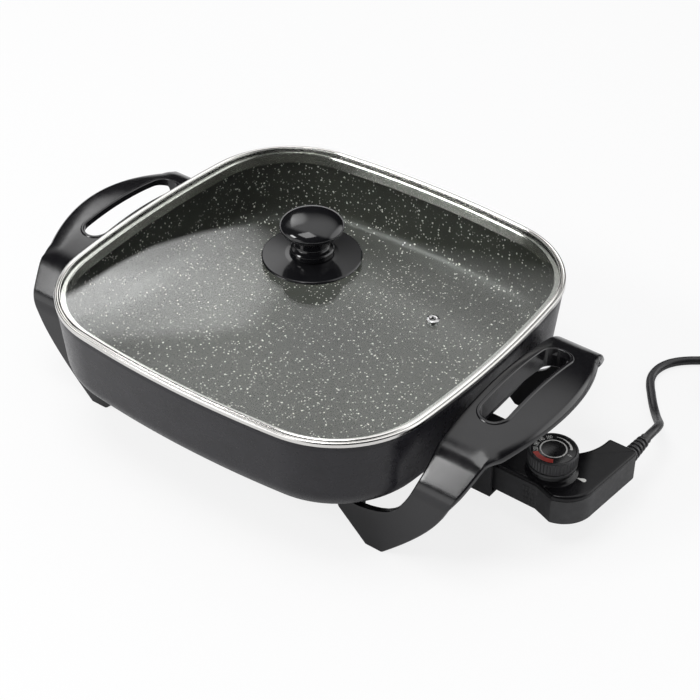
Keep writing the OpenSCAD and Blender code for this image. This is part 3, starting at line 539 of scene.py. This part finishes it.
# ---------------------------------------------------------------- pan
bottom_off = WALL_OFF - LEAN - BASE_R
flat_offs = bottom_off - 34, bottom_off - 14          # rings on the flat, inside the rounding
pan_profile = (
    [(off, PAN_LOW) for off in flat_offs]
    + arc(bottom_off, PAN_LOW + BASE_R, BASE_R, -90, 0, 12)
    + rounded([(WALL_OFF - LEAN, PAN_LOW + BASE_R), (WALL_OFF, LAND_H - 4), (WALL_OFF, LAND_H),
               (WALL_OFF - LAND_W, LAND_H), (WALL_OFF - LAND_W, LAND_H - 4), (WALL_OFF - WALL, LAND_H - 9),
               (WALL_OFF - WALL - LEAN, FLOOR_H + BASE_R)],
              [0, 5, 0.7, 0.9, 1.5, 3, 0], closed=False)[1:-1]
    + arc(bottom_off, FLOOR_H + BASE_R - WALL, BASE_R - WALL, 0, -90, 10)
    + [(off, FLOOR_H) for off in reversed(flat_offs)])
pan_shape = around(pan_profile, wrap=False, caps=True)
ring_count, face_count = len(outline(0)), len(pan_shape[1])
land_row = next(i for i, (off, z) in enumerate(pan_profile) if off < -4 and z > LAND_H - 0.01)
under_cap = face_count - 2
inside = [i for i in range(land_row * ring_count, face_count) if i != under_cap]
even(piece("pan_shell", pan_shape, "coat_out", "base", replaces=("pan",),
           second="coat_in", second_faces=inside))

post = lathe([(2.0, POST_LOW + 2), (2.0, POST_LOW), (2.5, POST_LOW), (POST_R - 0.4, POST_LOW),
              (POST_R, POST_LOW + 0.4), (POST_R, PAN_LOW - 2), (POST_R + 0.7, PAN_LOW - 0.7),
              (POST_R + 2, PAN_LOW + 0.2)], 48)
for i, (sx, sy) in enumerate(((1, 1), (-1, 1), (-1, -1), (1, -1))):
    piece(f"pan_post_{i}", moved(post, sx * POST_X, sy * POST_Y), "coat_out", "base", 30)

even(piece("probe_boss", bar(BOSS_X0, BOSS_X1, -BOSS_HALF, BOSS_HALF, PIN_H - BOSS_HALF, PAN_LOW + 0.5, 1.4),
           "coat_out", "base", 30))


# ---------------------------------------------------------------- lid
def dome(s):
    """Height of the dome at a share s of the way from the middle to the edge."""
    return DOME_H * (1 - s ** 2.2)


def dome_row(s, z):
    """A ring of the glass. It follows the rim outside and turns into a circle towards the middle."""
    w = 0.85 * (1 - s) ** 0.75          # how round the ring is
    circle_r = HALF_X - 2
    row = []
    for x, y in outline(GLASS_OFF):
        stretch = s * (1 - w + w * circle_r / math.hypot(x, y))
        row.append((x * stretch, y * stretch, z + dome(s)))
    return row


shares = [1, 0.994, 0.985, 0.97, 0.95, 0.925, 0.9, 0.87, 0.84, 0.8, 0.76, 0.72]
shares += [0.67 - 0.05 * k for k in range(13)] + [0.03]
glass_rows = [dome_row(s, GLASS_TOP - GLASS_T) for s in reversed(shares)]
glass_rows += [dome_row(s, GLASS_TOP) for s in shares]
even(piece("glass_dome", loft(glass_rows, caps=True), "glass", "lid", 50, replaces=("lid_glass",)))

GLASS_HALF = HALF_X + GLASS_OFF
edge_rise = dome((HALF_X - BAND_W) / GLASS_HALF)
slot_off = GLASS_OFF + 0.3
edge_section = rounded(
    [(WALL_OFF, LAND_H), (0, LAND_H + 0.9), (0, RIM_H - 0.8), (-0.4, RIM_H + 0.1), (-1.3, RIM_H + 0.4),
     (-2.1, RIM_H + 0.1), (-2.5, RIM_H - 0.4), (-2.9, RIM_H - 0.4), (-3.4, GLASS_TOP + 0.6),
     (-4.2, GLASS_TOP + edge_rise + 0.7), (-BAND_W, GLASS_TOP + edge_rise + 0.8),
     (-BAND_W, GLASS_TOP + edge_rise + 0.2), (slot_off, GLASS_TOP + 0.2),
     (slot_off, LAND_H + BAND_T), (-8.8, LAND_H + BAND_T),
     (-9.6, LAND_H + BAND_T - 1), (-9.6, LAND_H - SKIRT_H), (-8.8, LAND_H - SKIRT_H), (-8.8, LAND_H)],
    [0.3, 0.6, 0.5, 0.5, 0.8, 0.5, 0.2, 0.2, 0.5, 0.5, 0.4, 0.3, 0.1, 0.1, 0.2, 0.4, 0.3, 0.3, 0.1], n=3)
even(piece("steel_edge", around(edge_section), "steel", "lid", 50, replaces=("lid_rim",)))

eyelet_points, eyelet_faces = lathe(rounded(
    [(1.6, -4.9), (4.2, -4.9), (4.2, -4.0), (2.9, -4.0), (2.9, 0.3), (5.0, 0.3), (4.9, 1.3),
     (3.3, 1.9), (2.1, 1.7), (1.6, 1.0)], 0.25), 64)
last_row = len(eyelet_points) - 64
eyelet_faces += [(last_row + k, last_row + (k + 1) % 64, (k + 1) % 64, k) for k in range(64)]
piece("vent_eyelet", moved((eyelet_points, eyelet_faces), VENT_X, 0, GLASS_TOP + dome(VENT_X / GLASS_HALF)),
      "eyelet", "lid", 40, replaces=("vent_grommet",))

head_half = KNOB_HEAD_H / 2
head_h = KNOB_H - head_half
knob_profile = rounded(
    [(0, 0.02), (KNOB_NECK_R + 3.2, 0.02), (KNOB_NECK_R + 4, 0.8), (KNOB_NECK_R + 4, 4.6),
     (KNOB_NECK_R + 3.2, 5.6), (KNOB_NECK_R + 0.6, 6.6), (KNOB_NECK_R, 8.4), (KNOB_NECK_R, head_h - 9.4),
     (KNOB_NECK_R + 3, head_h - 7.3), (KNOB_R - 3.2, head_h - 4.7), (KNOB_R - 0.7, head_h - 2.2)],
    [0, 0.5, 0.6, 0.8, 0.9, 1.2, 2, 2.5, 4, 4, 0], closed=False, n=5)
knob_profile += [(KNOB_R * math.cos(a) ** 0.86, head_h + head_half * math.sin(a))
                 for a in (math.radians(6 * k) for k in range(-1, 15))]
knob_profile += [(0, head_h + head_half)]
even(piece("knob_head", moved(lathe(knob_profile, 128), z=DISC_TOP), "knob", "lid", 50,
           replaces=("lid_knob",)))
disc_profile = rounded(
    [(3, 0), (16, 0), (16.5, -0.4), (DISC_R - 3, -0.4), (DISC_R - 0.8, 0), (DISC_R, 0.8), (DISC_R, 1.6),
     (DISC_R - 0.9, 2.35), (20, 3.2), (17, DISC_T), (3, DISC_T)],
    [0, 0.3, 0.3, 1, 0.6, 0.5, 0.5, 0.8, 1.5, 1.5, 0], closed=False, n=4)
even(piece("guard_disc", moved(lathe(disc_profile, 128), z=DISC_LOW), "knob", "lid", 50,
           replaces=("knob_disc",)))


# ---------------------------------------------------------------- handles
GRIP_TOP, SAG, CREASE_X, CREASE_Y, LEG_Y, STRAP = 112.0, 11.0, 207.0, 75.0, 102.0, 5.0
CREASE_H = GRIP_TOP - SAG
BULGE = 18.0               # how far the grip's outer edge stands out between the creases
FLAT_Y = 66.0              # where the grip's top begins to bend down into the leg
GRIP_FALL = 3.6            # how far the top falls away towards the grip's outer edge
EDGE_R = 1.6
INNER_X, HOLE_X, HOLE_Y, HOLE_R, HOLE_HALF = 167.5, 186.5, 5.0, 10.5, 50.0
TAB_TOP, TAB_LOW = POST_LOW, PAN_LOW - 28
FOOT_X = HALF_X - 23.6
SLANT = (84.5, 92.7), (96.0, 80.8)          # the slanted face below the crease, as (Y, height)
LEG_HEIGHTS = (62, 57, 52.5, 49, 46, 43, 40, 37, 34.5, 33, 32.2, 31.6, 31.45, 30.6, 29.8, 27, 25, 22.8, 20,
               16, 12, 8, 4.5, 2, 0.6, 0)

outer_edge = (bend((CREASE_X, CREASE_H), (HALF_X + 38, CREASE_H - 15), (HALF_X + 27, CREASE_H - 37), 24)
              + bend((HALF_X + 27, CREASE_H - 37), (HALF_X + 18, CREASE_H - 61), (FOOT_X, 0), 24)[1:])
inner_edge = (bend((INNER_X, CREASE_H - 2), (HALF_X + 5, PAN_LOW + 24), (HALF_X - 9.6, PAN_LOW + 1), 20)
              + bend((HALF_X - 10, PAN_LOW), (HALF_X - 19, PAN_LOW - 16), (POST_X + 4, TAB_TOP - 0.3), 20)
              + [(POST_X - 5, TAB_TOP - 0.35), (POST_X - 9, TAB_TOP - 2), (POST_X - 12, TAB_LOW),
                 (FOOT_X - 16, 0)])


def x_at(edge, z):
    """X of a silhouette line at height z."""
    for (xa, za), (xb, zb) in zip(edge, edge[1:]):
        if zb <= z <= za:
            return xa + (xb - xa) * (za - z) / max(za - zb, 1e-9)
    return edge[0][0] if z > edge[0][1] else edge[-1][0]


def grip_outer(y):
    """X of the grip's outer edge."""
    t = (y + CREASE_Y) / (2 * CREASE_Y)
    return CREASE_X + 4 * t * (1 - t) * BULGE


def grip_height(y):
    return GRIP_TOP - SAG * (y / CREASE_Y) ** 2


def hole_rows():
    """Y of the rows across the grip, closer together round the ends of the hand hole."""
    bow = [HOLE_HALF - HOLE_R * (1 - math.cos(math.radians(9 * k))) for k in range(11)]
    ys = [HOLE_Y + side * b for side in (-1, 1) for b in bow]
    ys += [HOLE_Y + (HOLE_HALF - HOLE_R) * (k / 14 - 1) for k in range(1, 28)]
    ys += [-FLAT_Y + (HOLE_Y - HOLE_HALF + FLAT_Y) * k / 10 for k in range(10)]
    ys += [FLAT_Y - (FLAT_Y - HOLE_Y - HOLE_HALF) * k / 8 for k in range(8)]
    return sorted(set(round(y, 4) for y in ys))


def strap_rows():
    """Rows across the strap from foot to foot: Y, height, inner X, seam X, hole's half width, outer X."""
    (slant_y, slant_z), (low_y, low_z) = SLANT
    leg = bend((FLAT_Y, grip_height(FLAT_Y)), (76.8, 100.7), SLANT[0], 12)[1:]
    leg += [(slant_y + (low_y - slant_y) * k / 4, slant_z + (low_z - slant_z) * k / 4) for k in range(1, 4)]
    leg += bend(SLANT[1], (LEG_Y, CREASE_H - 26.4), (LEG_Y, CREASE_H - 35), 10)
    leg += [(LEG_Y, z) for z in LEG_HEIGHTS]
    share = (HOLE_X - INNER_X) / (CREASE_X - INNER_X)

    def leg_row(side, y, z):
        inner = x_at(inner_edge, z)
        outer = x_at(outer_edge, z) if y > CREASE_Y else grip_outer(y)
        return side * y, z, inner, inner + share * (outer - inner), None, outer

    def grip_row(y):
        past = abs(y - HOLE_Y) - (HOLE_HALF - HOLE_R)          # how far into the hole's round end
        wide = None
        if past < HOLE_R - 1e-6:
            wide = math.sqrt(max(HOLE_R ** 2 - max(0.0, past) ** 2, 0)) + 1.2
        return y, grip_height(y), INNER_X, HOLE_X, wide, grip_outer(y)
    return ([leg_row(-1, y, z) for y, z in reversed(leg)] + [grip_row(y) for y in hole_rows()]
            + [leg_row(1, y, z) for y, z in leg])


def strap():
    """The moulded strap: a thick ribbon with rounded edges, an outer skirt and the hand hole left open.

    It is built as two halves that meet at the seam, and beside the hole each half has its own wall."""
    rows = strap_rows()
    spine = [Vector(row[:2]) for row in rows]
    columns = 6
    outer_rings, inner_rings = [], []
    for i, (y, _, inner, seam, wide, outer) in enumerate(rows):
        along = (spine[min(i + 1, len(rows) - 1)] - spine[max(i - 1, 0)]).normalized()
        up = Vector((-along.y, along.x))
        grip = max(0.0, min(1.0, (CREASE_Y + 4 - abs(y)) / 14))
        skirt = STRAP + 1.5 * grip * grip * (3 - 2 * grip)
        near, far = (seam, seam) if wide is None else (seam - wide, seam + wide)

        def at(x, depth):
            """The point depth below the top. The outer part of the grip falls away towards its edge."""
            u = min(1.0, max(0.0, (x - HOLE_X - 8) / max(outer - HOLE_X - 8, 1)))
            q = spine[i] - up * (depth + GRIP_FALL * grip * u * u)
            return x, q.x, q.y

        def across(x0, x1, depth, first=0):
            return [at(x0 + (x1 - x0) * k / columns, depth) for k in range(first, columns + 1)]
        r = EDGE_R + GRIP_FALL * grip
        ring = across(far, outer - r, 0)
        ring += [at(outer - r * (1 - math.sin(a)), r * (1 - math.cos(a)) * 0.8)
                 for a in (math.radians(11.25 * k) for k in range(1, 9))]
        ring += [at(outer, skirt - 0.8), at(outer - 0.25, skirt - 0.25), at(outer - 0.8, skirt),
                 at(outer - 3.2, skirt), at(outer - 3.8, skirt - 0.2),
                 at(outer - 4, STRAP - 0.01 + (skirt - STRAP) * 0.5), at(outer - 5.0, STRAP)]
        outer_rings.append(ring + across(outer - 5.0, far, STRAP, 1))
        ring = across(near, inner + EDGE_R, 0)
        ring += [at(inner + EDGE_R * (1 - math.sin(a)), EDGE_R * (1 - math.cos(a)))
                 for a in (math.radians(22.5 * k) for k in range(1, 5))]
        ring += [at(inner, STRAP - 0.8), at(inner + 0.25, STRAP - 0.25), at(inner + 0.8, STRAP)]
        inner_rings.append(ring + across(inner + 0.8, near, STRAP, 1))
    has_hole = [row[4] is not None for row in rows]
    return joined([half_strap(outer_rings, has_hole), half_strap(inner_rings, has_hole)])


def half_strap(rings, has_hole):
    """A skin over open rings, capped at both feet and closed along the hand hole."""
    n = len(rings[0])
    faces = []
    for j in range(len(rings) - 1):
        a = j * n
        faces += [(a + k, a + k + 1, a + k + n + 1, a + k + n) for k in range(n - 1)]
        if has_hole[j] or has_hole[j + 1]:
            faces.append((a + n - 1, a, a + n, a + 2 * n - 1))
    faces += [tuple(j * n + k for k in range(n)) for j in (0, len(rings) - 1)]
    return [p for ring in rings for p in ring], faces


def hole_lip():
    """The raised lip and the wall of the hand hole."""
    h = HOLE_HALF - HOLE_R
    turn = [math.radians(180 * k / 24) for k in range(25)]
    path = [(math.cos(a), math.sin(a), h) for a in turn]
    path += [(-1, 0, h - 2 * h * k / 12) for k in range(1, 12)]
    path += [(math.cos(a + math.pi), math.sin(a + math.pi), -h) for a in turn]
    path += [(1, 0, -h + 2 * h * k / 12) for k in range(1, 12)]
    profile = rounded([(3, 3.0), (3, -0.1), (2.2, -0.9), (0.8, -0.9), (0, -0.3), (0, 15.2), (0.8, 16),
                       (2.2, 16), (3, 15.2)], [0, 0.8, 0.9, 0.8, 0.6, 0.5, 0.4, 0.4, 0.5], n=3)
    rings = []
    for nx, ny, middle in path:
        # the wall is deep on the pan's side and as thin as the strap on the outside
        deep = min(1, max(0, (0.45 - nx) / 0.3))
        ring = []
        for out, depth in profile:
            x, y = HOLE_X + nx * (HOLE_R + out), HOLE_Y + middle + ny * (HOLE_R + out)
            if depth > 3.5:
                depth = 4.2 + (depth - 4.2) * deep
            ring.append((x, y, grip_height(y) - depth))
        rings.append(ring)
    return loft(rings, wrap=True)


def merge_seam(o):
    """The strap's halves joined where they meet."""
    bm = bmesh.new()
    bm.from_mesh(o.data)
    bmesh.ops.remove_doubles(bm, verts=bm.verts, dist=0.00002)
    bmesh.ops.recalc_face_normals(bm, faces=bm.faces)
    bm.to_mesh(o.data)
    bm.free()


socket = lathe(rounded([(2.3, TAB_LOW), (4.2, TAB_LOW), (4.2, TAB_LOW - 6), (6, TAB_LOW - 6),
                        (6, TAB_TOP - 0.4), (2.3, TAB_TOP - 0.4)], [0, 0, 0.3, 0.6, 0.6, 0],
                       closed=False, n=3), 48)
for side, turn_side, post_x in (("right", lambda shape: shape, POST_X), ("left", mirrored, -POST_X)):
    merge_seam(even(piece(f"{side}_strap", turn_side(strap()), "handle", "base", 50,
                          replaces=(f"{side}_handle",))))
    even(piece(f"{side}_hole_lip", turn_side(hole_lip()), "handle", "base", 50))
    for k, sy in enumerate((-1, 1)):
        piece(f"{side}_leg_socket_{k}", moved(socket, post_x, sy * POST_Y),
              "handle", "base", 40)


# ---------------------------------------------------------------- controller
def case_outline():
    """The housing from above: an arm that starts under the handle, a round end and a side arm."""
    pts = [(ARM_X0, -ARM_HALF), (DIAL_X - 1, -17.8), (DIAL_X + 4, -19.6)]
    pts += arc(DIAL_X + 9, 2, 26, -78, 0, 22)
    pts += bend((CTRL_X1, SIDE_Y1 - 3), (CTRL_X1, SIDE_Y1), (CTRL_X1 - 3, SIDE_Y1), 5)
    pts += [(CTRL_X1 - 23, SIDE_Y1)]
    pts += bend((CTRL_X1 - 24, SIDE_Y1 - 2), (CTRL_X1 - 25, SIDE_Y1 - 22), (DIAL_X - 1, 23), 18)
    pts += bend((DIAL_X - 4, 23), (DIAL_X - 14, 22), (DIAL_X - 20, 17), 8)
    return pts + [(ARM_X0, ARM_HALF)]


def inset(points, d):
    """A closed outline moved inwards by d."""
    out, n = [], len(points)
    for i, p in enumerate(points):
        a, b, c = Vector(points[i - 1]), Vector(p), Vector(points[(i + 1) % n])
        u, w = (b - a).normalized(), (c - b).normalized()
        mean = Vector((-u.y, u.x)) + Vector((-w.y, w.x))
        mean /= max(mean.length_squared / 2, 0.35)
        out.append((p[0] + mean.x * d, p[1] + mean.y * d))
    return out


def shell(profile):
    """The housing's outline raised through a profile of (inset, height)."""
    return loft([[(x, y, z) for x, y in inset(case_outline(), d)] for d, z in profile], caps=True)


SPLIT, TOP_R = CTRL_TOP - 4, 2.2
even(piece("case_lower", shell([
    (1.6, CTRL_LOW), (0.9, CTRL_LOW + 0.1), (0.25, CTRL_LOW + 0.7), (0, CTRL_LOW + 1.6),
    (0, SPLIT - 0.4), (0.25, SPLIT - 0.15), (0.6, SPLIT - 0.1)]),
    "satin", "controller", 28, replaces=("controller_base",)))
top_profile = [(0.6, SPLIT), (0.2, SPLIT + 0.05), (0, SPLIT + 0.3)]
top_profile += arc(TOP_R, CTRL_TOP - TOP_R, TOP_R, 180, 90, 6)
top_profile += [(TOP_R + 0.5, CTRL_TOP)]
even(piece("case_upper", shell(top_profile), "gloss", "controller", 28,
           replaces=("controller_top",)))
collar = lathe(rounded([(19.4, CTRL_TOP - 0.1), (18.2, CTRL_TOP + 0.8), (17.2, CTRL_TOP + 2.2),
                        (16.2, CTRL_TOP + 3.0), (15.6, CTRL_TOP + 6.3), (3.4, CTRL_TOP + 6.3)],
                       [0, 1, 1, 0.8, 0.6, 0], closed=False), 96)
piece("dial_collar", moved(collar, DIAL_X), "gloss", "controller", 40)

# Grip ridges on the near side of the arm, in three rows of five
ridge = bar(0, 1.5, -0.45, 0.45, -1.9, 1.9, 0.4, 2)
piece("grip_ridges", joined([moved(ridge, DIAL_X - 12 + 2.6 * k, -17.75, CTRL_LOW + 6.0 + 5.2 * row)
                             for k in range(5) for row in range(3)]),
      "satin", "controller", 30)


# ---------------------------------------------------------------- dial
RIBS, STEPS_PER_RIB = 44, 8


def dial_ring(r, z, rib=0.0):
    """A ring of the dial. rib is how deep the grooves between the ribs are."""
    ring = []
    for k in range(RIBS * STEPS_PER_RIB):
        a = 2 * math.pi * k / (RIBS * STEPS_PER_RIB)
        groove = rib * (0.5 + 0.5 * math.cos(a * RIBS)) ** 1.6
        ring.append(((r - groove) * math.cos(a), (r - groove) * math.sin(a), z))
    return ring


# Smooth skirt, ribbed side and a raised edge round the printed face
dial_rings = [dial_ring(3.1, 0)]
dial_rings += [dial_ring(DIAL_R - d, *rest) for d, *rest in (
    (1.1, 0), (0.5, 0.15), (0.3, 0.6), (0.3, 2.0), (0.5, 2.3), (1.3, 2.5), (1.4, 3.3),
    (0.5, 3.6, 0.35), (0, 4.1, 0.75), (0, 11.6, 0.75), (0.15, 12.1, 0.45),
    (0.35, 12.5), (0.7, 13.1), (1.2, DIAL_H), (1.7, DIAL_H - 0.1), (1.95, DIAL_H - 0.5), (2.0, DIAL_H - 0.9))]
dial_rings += [dial_ring(3.1, DIAL_H - 0.9)]
even(piece("dial_grip", moved(loft(dial_rings), DIAL_X, 0, DIAL_LOW), "satin", "dial", 50,
           replaces=("dial",)))
FACE_Z = DIAL_LOW + DIAL_H - 0.2
piece("dial_face", moved(lathe([(16.1, -0.6), (16.1, -0.12), (15.9, 0), (0, 0)], 96), DIAL_X, 0, FACE_Z),
      "print_black", "dial", 40, replaces=("dial_plate",))
PRINT_Z = FACE_Z + 0.04


def printed_band(name, look, r0, r1, a0, a1, n, taper=None):
    """A flat band from angle a0 to a1, in degrees. taper is its inner radius at a0, if another than r0."""
    start = r0 if taper is None else taper
    points, faces = [], []
    for k in range(n + 1):
        w = k / n
        a = math.radians(a0 + (a1 - a0) * w)
        inner = start + (r0 - start) * w
        points += [(r * math.cos(a), r * math.sin(a), 0) for r in (inner, r1)]
    for k in range(n):
        faces.append((2 * k, 2 * k + 1, 2 * k + 3, 2 * k + 2))
    piece(name, moved((points, faces), DIAL_X, 0, PRINT_Z), look, "dial")


printed_band("print_ring", "print_white", 8.9, 9.9, 0, 360, 96)
printed_band("print_taper", "print_white", 13.1, 13.5, 30, 113, 28, taper=11.7)
printed_band("print_red_arc", "print_red", 11.4, 15.4, 229, 300, 28)


def number(text, angle, radius, size, name):
    """A narrow printed number whose foot points to the dial's middle."""
    text_curve = bpy.data.curves.new(name, "FONT")
    text_curve.body = text
    text_curve.size = size * MM
    text_curve.align_x = "CENTER"
    text_curve.align_y = "CENTER"
    draft = placed(f"{name}_draft", text_curve)
    bpy.context.view_layer.update()
    mesh = bpy.data.meshes.new_from_object(draft.evaluated_get(bpy.context.evaluated_depsgraph_get()))
    bpy.data.objects.remove(draft)
    a = math.radians(angle)
    at = at_mm(DIAL_X + radius * math.cos(a), radius * math.sin(a), PRINT_Z)
    mesh.transform(Matrix.Translation(at) @ Matrix.Rotation(a - math.pi / 2, 4, "Z")
                   @ Matrix.Diagonal((0.66, 1, 1, 1)))
    o = placed(name, mesh)
    mesh.materials.clear()
    mesh.materials.append(LOOK["print_white"])
    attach(o, "dial")


for text, angle in (("0", 2), ("100", 136), ("140", 164), ("180", 192), ("220", 217)):
    number(text, angle, 12.7, 4.7, f"dial_number_{text}")


# ---------------------------------------------------------------- the controller's lens and sleeve
lens_angle, lens_r = math.radians(10), 24
drop_outline = [(-5.2, 0)] + arc(0.6, 0, 1.8, -110, 110, 22)
rings = []
for d, z in ((0, CTRL_TOP - 1.2), (0, CTRL_TOP + 0.15), (0.12, CTRL_TOP + 0.28), (0.4, CTRL_TOP + 0.32)):
    pts = [(lens_r + x * (1 - d / 3.5), y * (1 - d / 1.8)) for x, y in drop_outline]
    rings.append([(DIAL_X + x * math.cos(lens_angle) - y * math.sin(lens_angle),
                   x * math.sin(lens_angle) + y * math.cos(lens_angle), z) for x, y in pts])
even(piece("pointer_lens", loft(rings, caps=True), "lens", "controller", 50,
           replaces=("indicator_lens",)))

# Strain relief: a turned shape with five ribs, laid along +Y
relief = [(0, -2.2), (4.4, -2.2), (4.4, 0), (6.2, 0.1), (6.3, 1.2), (6.1, 3.8)]
for k in range(5):
    r, z = 6.2 - 0.3 * k, 5.8 + 4.4 * k
    relief += [(r - 1.4, z - 1.2), (r - 1.4, z - 0.7), (r - 0.1, z - 0.2), (r, z + 0.4), (r - 0.1, z + 1.9),
               (r - 1.2, z + 2.6)]
relief += [(4.3, 30), (0, 30)]
relief_points, relief_faces = lathe(rounded(relief, 0.35, closed=False, n=3), 64)
relief_shape = [(x, z, -y) for x, y, z in relief_points], relief_faces
even(piece("relief_sleeve", moved(relief_shape, SIDE_X, SIDE_Y1, AXIS_H), "lead", "controller", 50,
           replaces=("strain_relief",)))


# ---------------------------------------------------------------- CAD shapes kept
def eased(node, name, look, body, width=0.5, segments=2, smooth=35):
    """A copy of a CAD node with its flat faces merged and its edges rounded."""
    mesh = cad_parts[node].data.copy()
    mesh.materials.clear()
    bm = bmesh.new()
    bm.from_mesh(mesh)
    bmesh.ops.remove_doubles(bm, verts=bm.verts, dist=0.000005)
    bmesh.ops.dissolve_limit(bm, angle_limit=math.radians(1.5), verts=bm.verts, edges=bm.edges)
    bm.to_mesh(mesh)
    bm.free()
    o = placed(name, mesh)
    if width > 0:
        bevel = o.modifiers.new("ease", "BEVEL")
        bevel.width = width * MM
        bevel.segments = segments
        bevel.limit_method = "ANGLE"
        bevel.angle_limit = math.radians(40)
        bevel.use_clamp_overlap = True
    dress(o, look, body, smooth, (node,))
    return even(o)


eased("terminal_shroud", "pin_shroud", "satin", "base", 0.8, 3)
eased("plug", "mains_plug", "lead", "controller", 0.8, 3)
eased("plug_blades", "plug_pins", "brass", "controller", 0.25)
eased("cord_tie", "lead_tie", "satin", "controller", 0.25)
eased("heating_element", "heater_tube", "sheath", "base", 0, smooth=50)
eased("pin_insulators", "insulators", "ceramic", "base", 0.3)

# The rest are shown as they are
for node, look in {
        "terminal_pins": "plated", "shroud_screws": "plated", "leg_screws": "plated",
        "knob_gasket": "rubber", "knob_washer": "plated", "knob_screw": "plated",
        "controller_screws": "plated", "thermostat": "ceramic", "heat_probe": "plated",
        "probe_ferrule": "brass", "pin_sockets": "brass", "neon_lamp": "lamp", "dial_shaft": "brass"}.items():
    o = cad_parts[node]
    o.data.materials.clear()
    o.data.materials.append(LOOK[look])


# ---------------------------------------------------------------- floor, background and lamps, in metres
def floor_material():
    """A pale floor that the camera sees nearly white, with the object's shadow kept."""
    material, tree, shader, out = nodes_of("floor_white")
    tree.nodes.remove(shader)
    matt = tree.nodes.new("ShaderNodeBsdfDiffuse")
    matt.inputs["Color"].default_value = (0.93, 0.93, 0.93, 1)
    glow = tree.nodes.new("ShaderNodeEmission")
    glow.inputs["Color"].default_value = (1, 1, 1, 1)
    rays = tree.nodes.new("ShaderNodeLightPath")
    mix = tree.nodes.new("ShaderNodeMixShader")
    tree.links.new(math_node(tree, "MULTIPLY", rays.outputs["Is Camera Ray"], 0.82), mix.inputs["Fac"])
    tree.links.new(matt.outputs["BSDF"], mix.inputs[1])
    tree.links.new(glow.outputs["Emission"], mix.inputs[2])
    tree.links.new(mix.outputs["Shader"], out.inputs["Surface"])
    return material


FLOOR_HALF, FLOOR_Z = 6, -0.0004
floor_mesh = bpy.data.meshes.new("floor")
floor_mesh.from_pydata([(sx * FLOOR_HALF, sy * FLOOR_HALF, FLOOR_Z)
                        for sx, sy in ((-1, -1), (1, -1), (1, 1), (-1, 1))], [], [(0, 1, 2, 3)])
floor = placed("floor", floor_mesh)
floor_mesh.materials.append(floor_material())


def studio():
    """The world: white to the camera, soft light for matt surfaces, and a studio for gloss to reflect.

    Gloss sees dark walls, a ceiling that is paler overhead and ends behind the object, a panel low in
    front on the left, a bright backdrop on the right and a softbox behind on the left."""
    world = bpy.data.worlds.new("studio")
    bpy.context.scene.world = world
    world.use_nodes = True
    tree = world.node_tree
    sky = tree.nodes.new("ShaderNodeTexCoord").outputs["Generated"]
    axes = tree.nodes.new("ShaderNodeSeparateXYZ")
    tree.links.new(sky, axes.inputs["Vector"])
    height, depth = axes.outputs["Z"], axes.outputs["Y"]

    def both(op, a, b):
        return math_node(tree, op, a, b)

    def facing(direction):
        """Cosine of the angle to a direction."""
        dot = tree.nodes.new("ShaderNodeVectorMath")
        dot.operation = "DOT_PRODUCT"
        tree.links.new(sky, dot.inputs[0])
        dot.inputs[1].default_value = direction
        return dot.outputs["Value"]

    def grey(fac, stops, top):
        return both("MULTIPLY", ramp(tree, fac, [(at, (v, v, v)) for at, v in stops]), top)

    ceiling = grey(height, [(0.454, 0.01), (0.559, 0.30), (0.643, 0.58), (0.731, 0.80), (0.883, 1.0)], 1.5)
    ceiling = both("MULTIPLY", ceiling, level(tree, depth, 0.02, 1, -0.05, 0.15))
    panel = both("MULTIPLY", level(tree, facing((-0.43, -0.90, 0.08)), 0, 1.8, 0.80, 0.93),
                 level(tree, height, 1, 0, 0.30, 0.42))
    backdrop = level(tree, facing((0.686, 0.686, 0.242)), 0, 2.4, 0.788, 0.899)
    softbox = grey(facing((-0.7601, 0.3544, 0.5446)),
                   [(0.938, 0), (0.952, 0.37), (0.970, 0.53), (0.985, 0.68), (0.9945, 1.0)], 3.4)
    for edge in (level(tree, facing((-0.0179, -0.5641, 0.8255)), 0, 1, 0.0, 0.02),
                 level(tree, facing((0.6605, 0.5255, 0.5363)), 0, 1, 0.0, 0.015),
                 level(tree, height, 1, 0, 0.743, 0.772)):
        softbox = both("MULTIPLY", softbox, edge)
    room = both("ADD", both("MAXIMUM", both("MAXIMUM", ceiling, panel), backdrop), softbox)

    rays = tree.nodes.new("ShaderNodeLightPath")
    soft_bounce = both("MINIMUM", rays.outputs["Diffuse Depth"], 1)
    gloss_bounce = both("MINIMUM", rays.outputs["Glossy Depth"], 1)
    no_bounce = both("SUBTRACT", 1, both("MAXIMUM", soft_bounce, gloss_bounce))
    through_glass = both("MULTIPLY", rays.outputs["Is Transmission Ray"], no_bounce)
    gloss_only = both("MULTIPLY", gloss_bounce, both("SUBTRACT", 1, soft_bounce))
    light = colour_mix(tree, gloss_only, (0.48, 0.48, 0.49, 1), room)
    seen = colour_mix(tree, both("MAXIMUM", rays.outputs["Is Camera Ray"], through_glass),
                      light, (1.0, 1.0, 1.0, 1))
    tree.links.new(seen, tree.nodes["Background"].inputs["Color"])


def lamp(name, at, look, size, power):
    """An area lamp at a point, turned to look at another."""
    data = bpy.data.lights.new(name, "AREA")
    data.shape = "RECTANGLE"
    data.size, data.size_y = size
    data.energy = power
    o = placed(name, data)
    o.location = at
    o.rotation_euler = (Vector(look) - Vector(at)).to_track_quat("-Z", "Y").to_euler()


studio()
lamp("front_left", (-1.4, -1.85, 1.75), (0, 0, 0.1), (0.85, 0.65), 30)
lamp("overhead", (-0.2, -0.5, 2.7), (0, 0, 0.1), (1.3, 1.3), 26)

bpy.context.scene.view_settings.view_transform = "Standard"
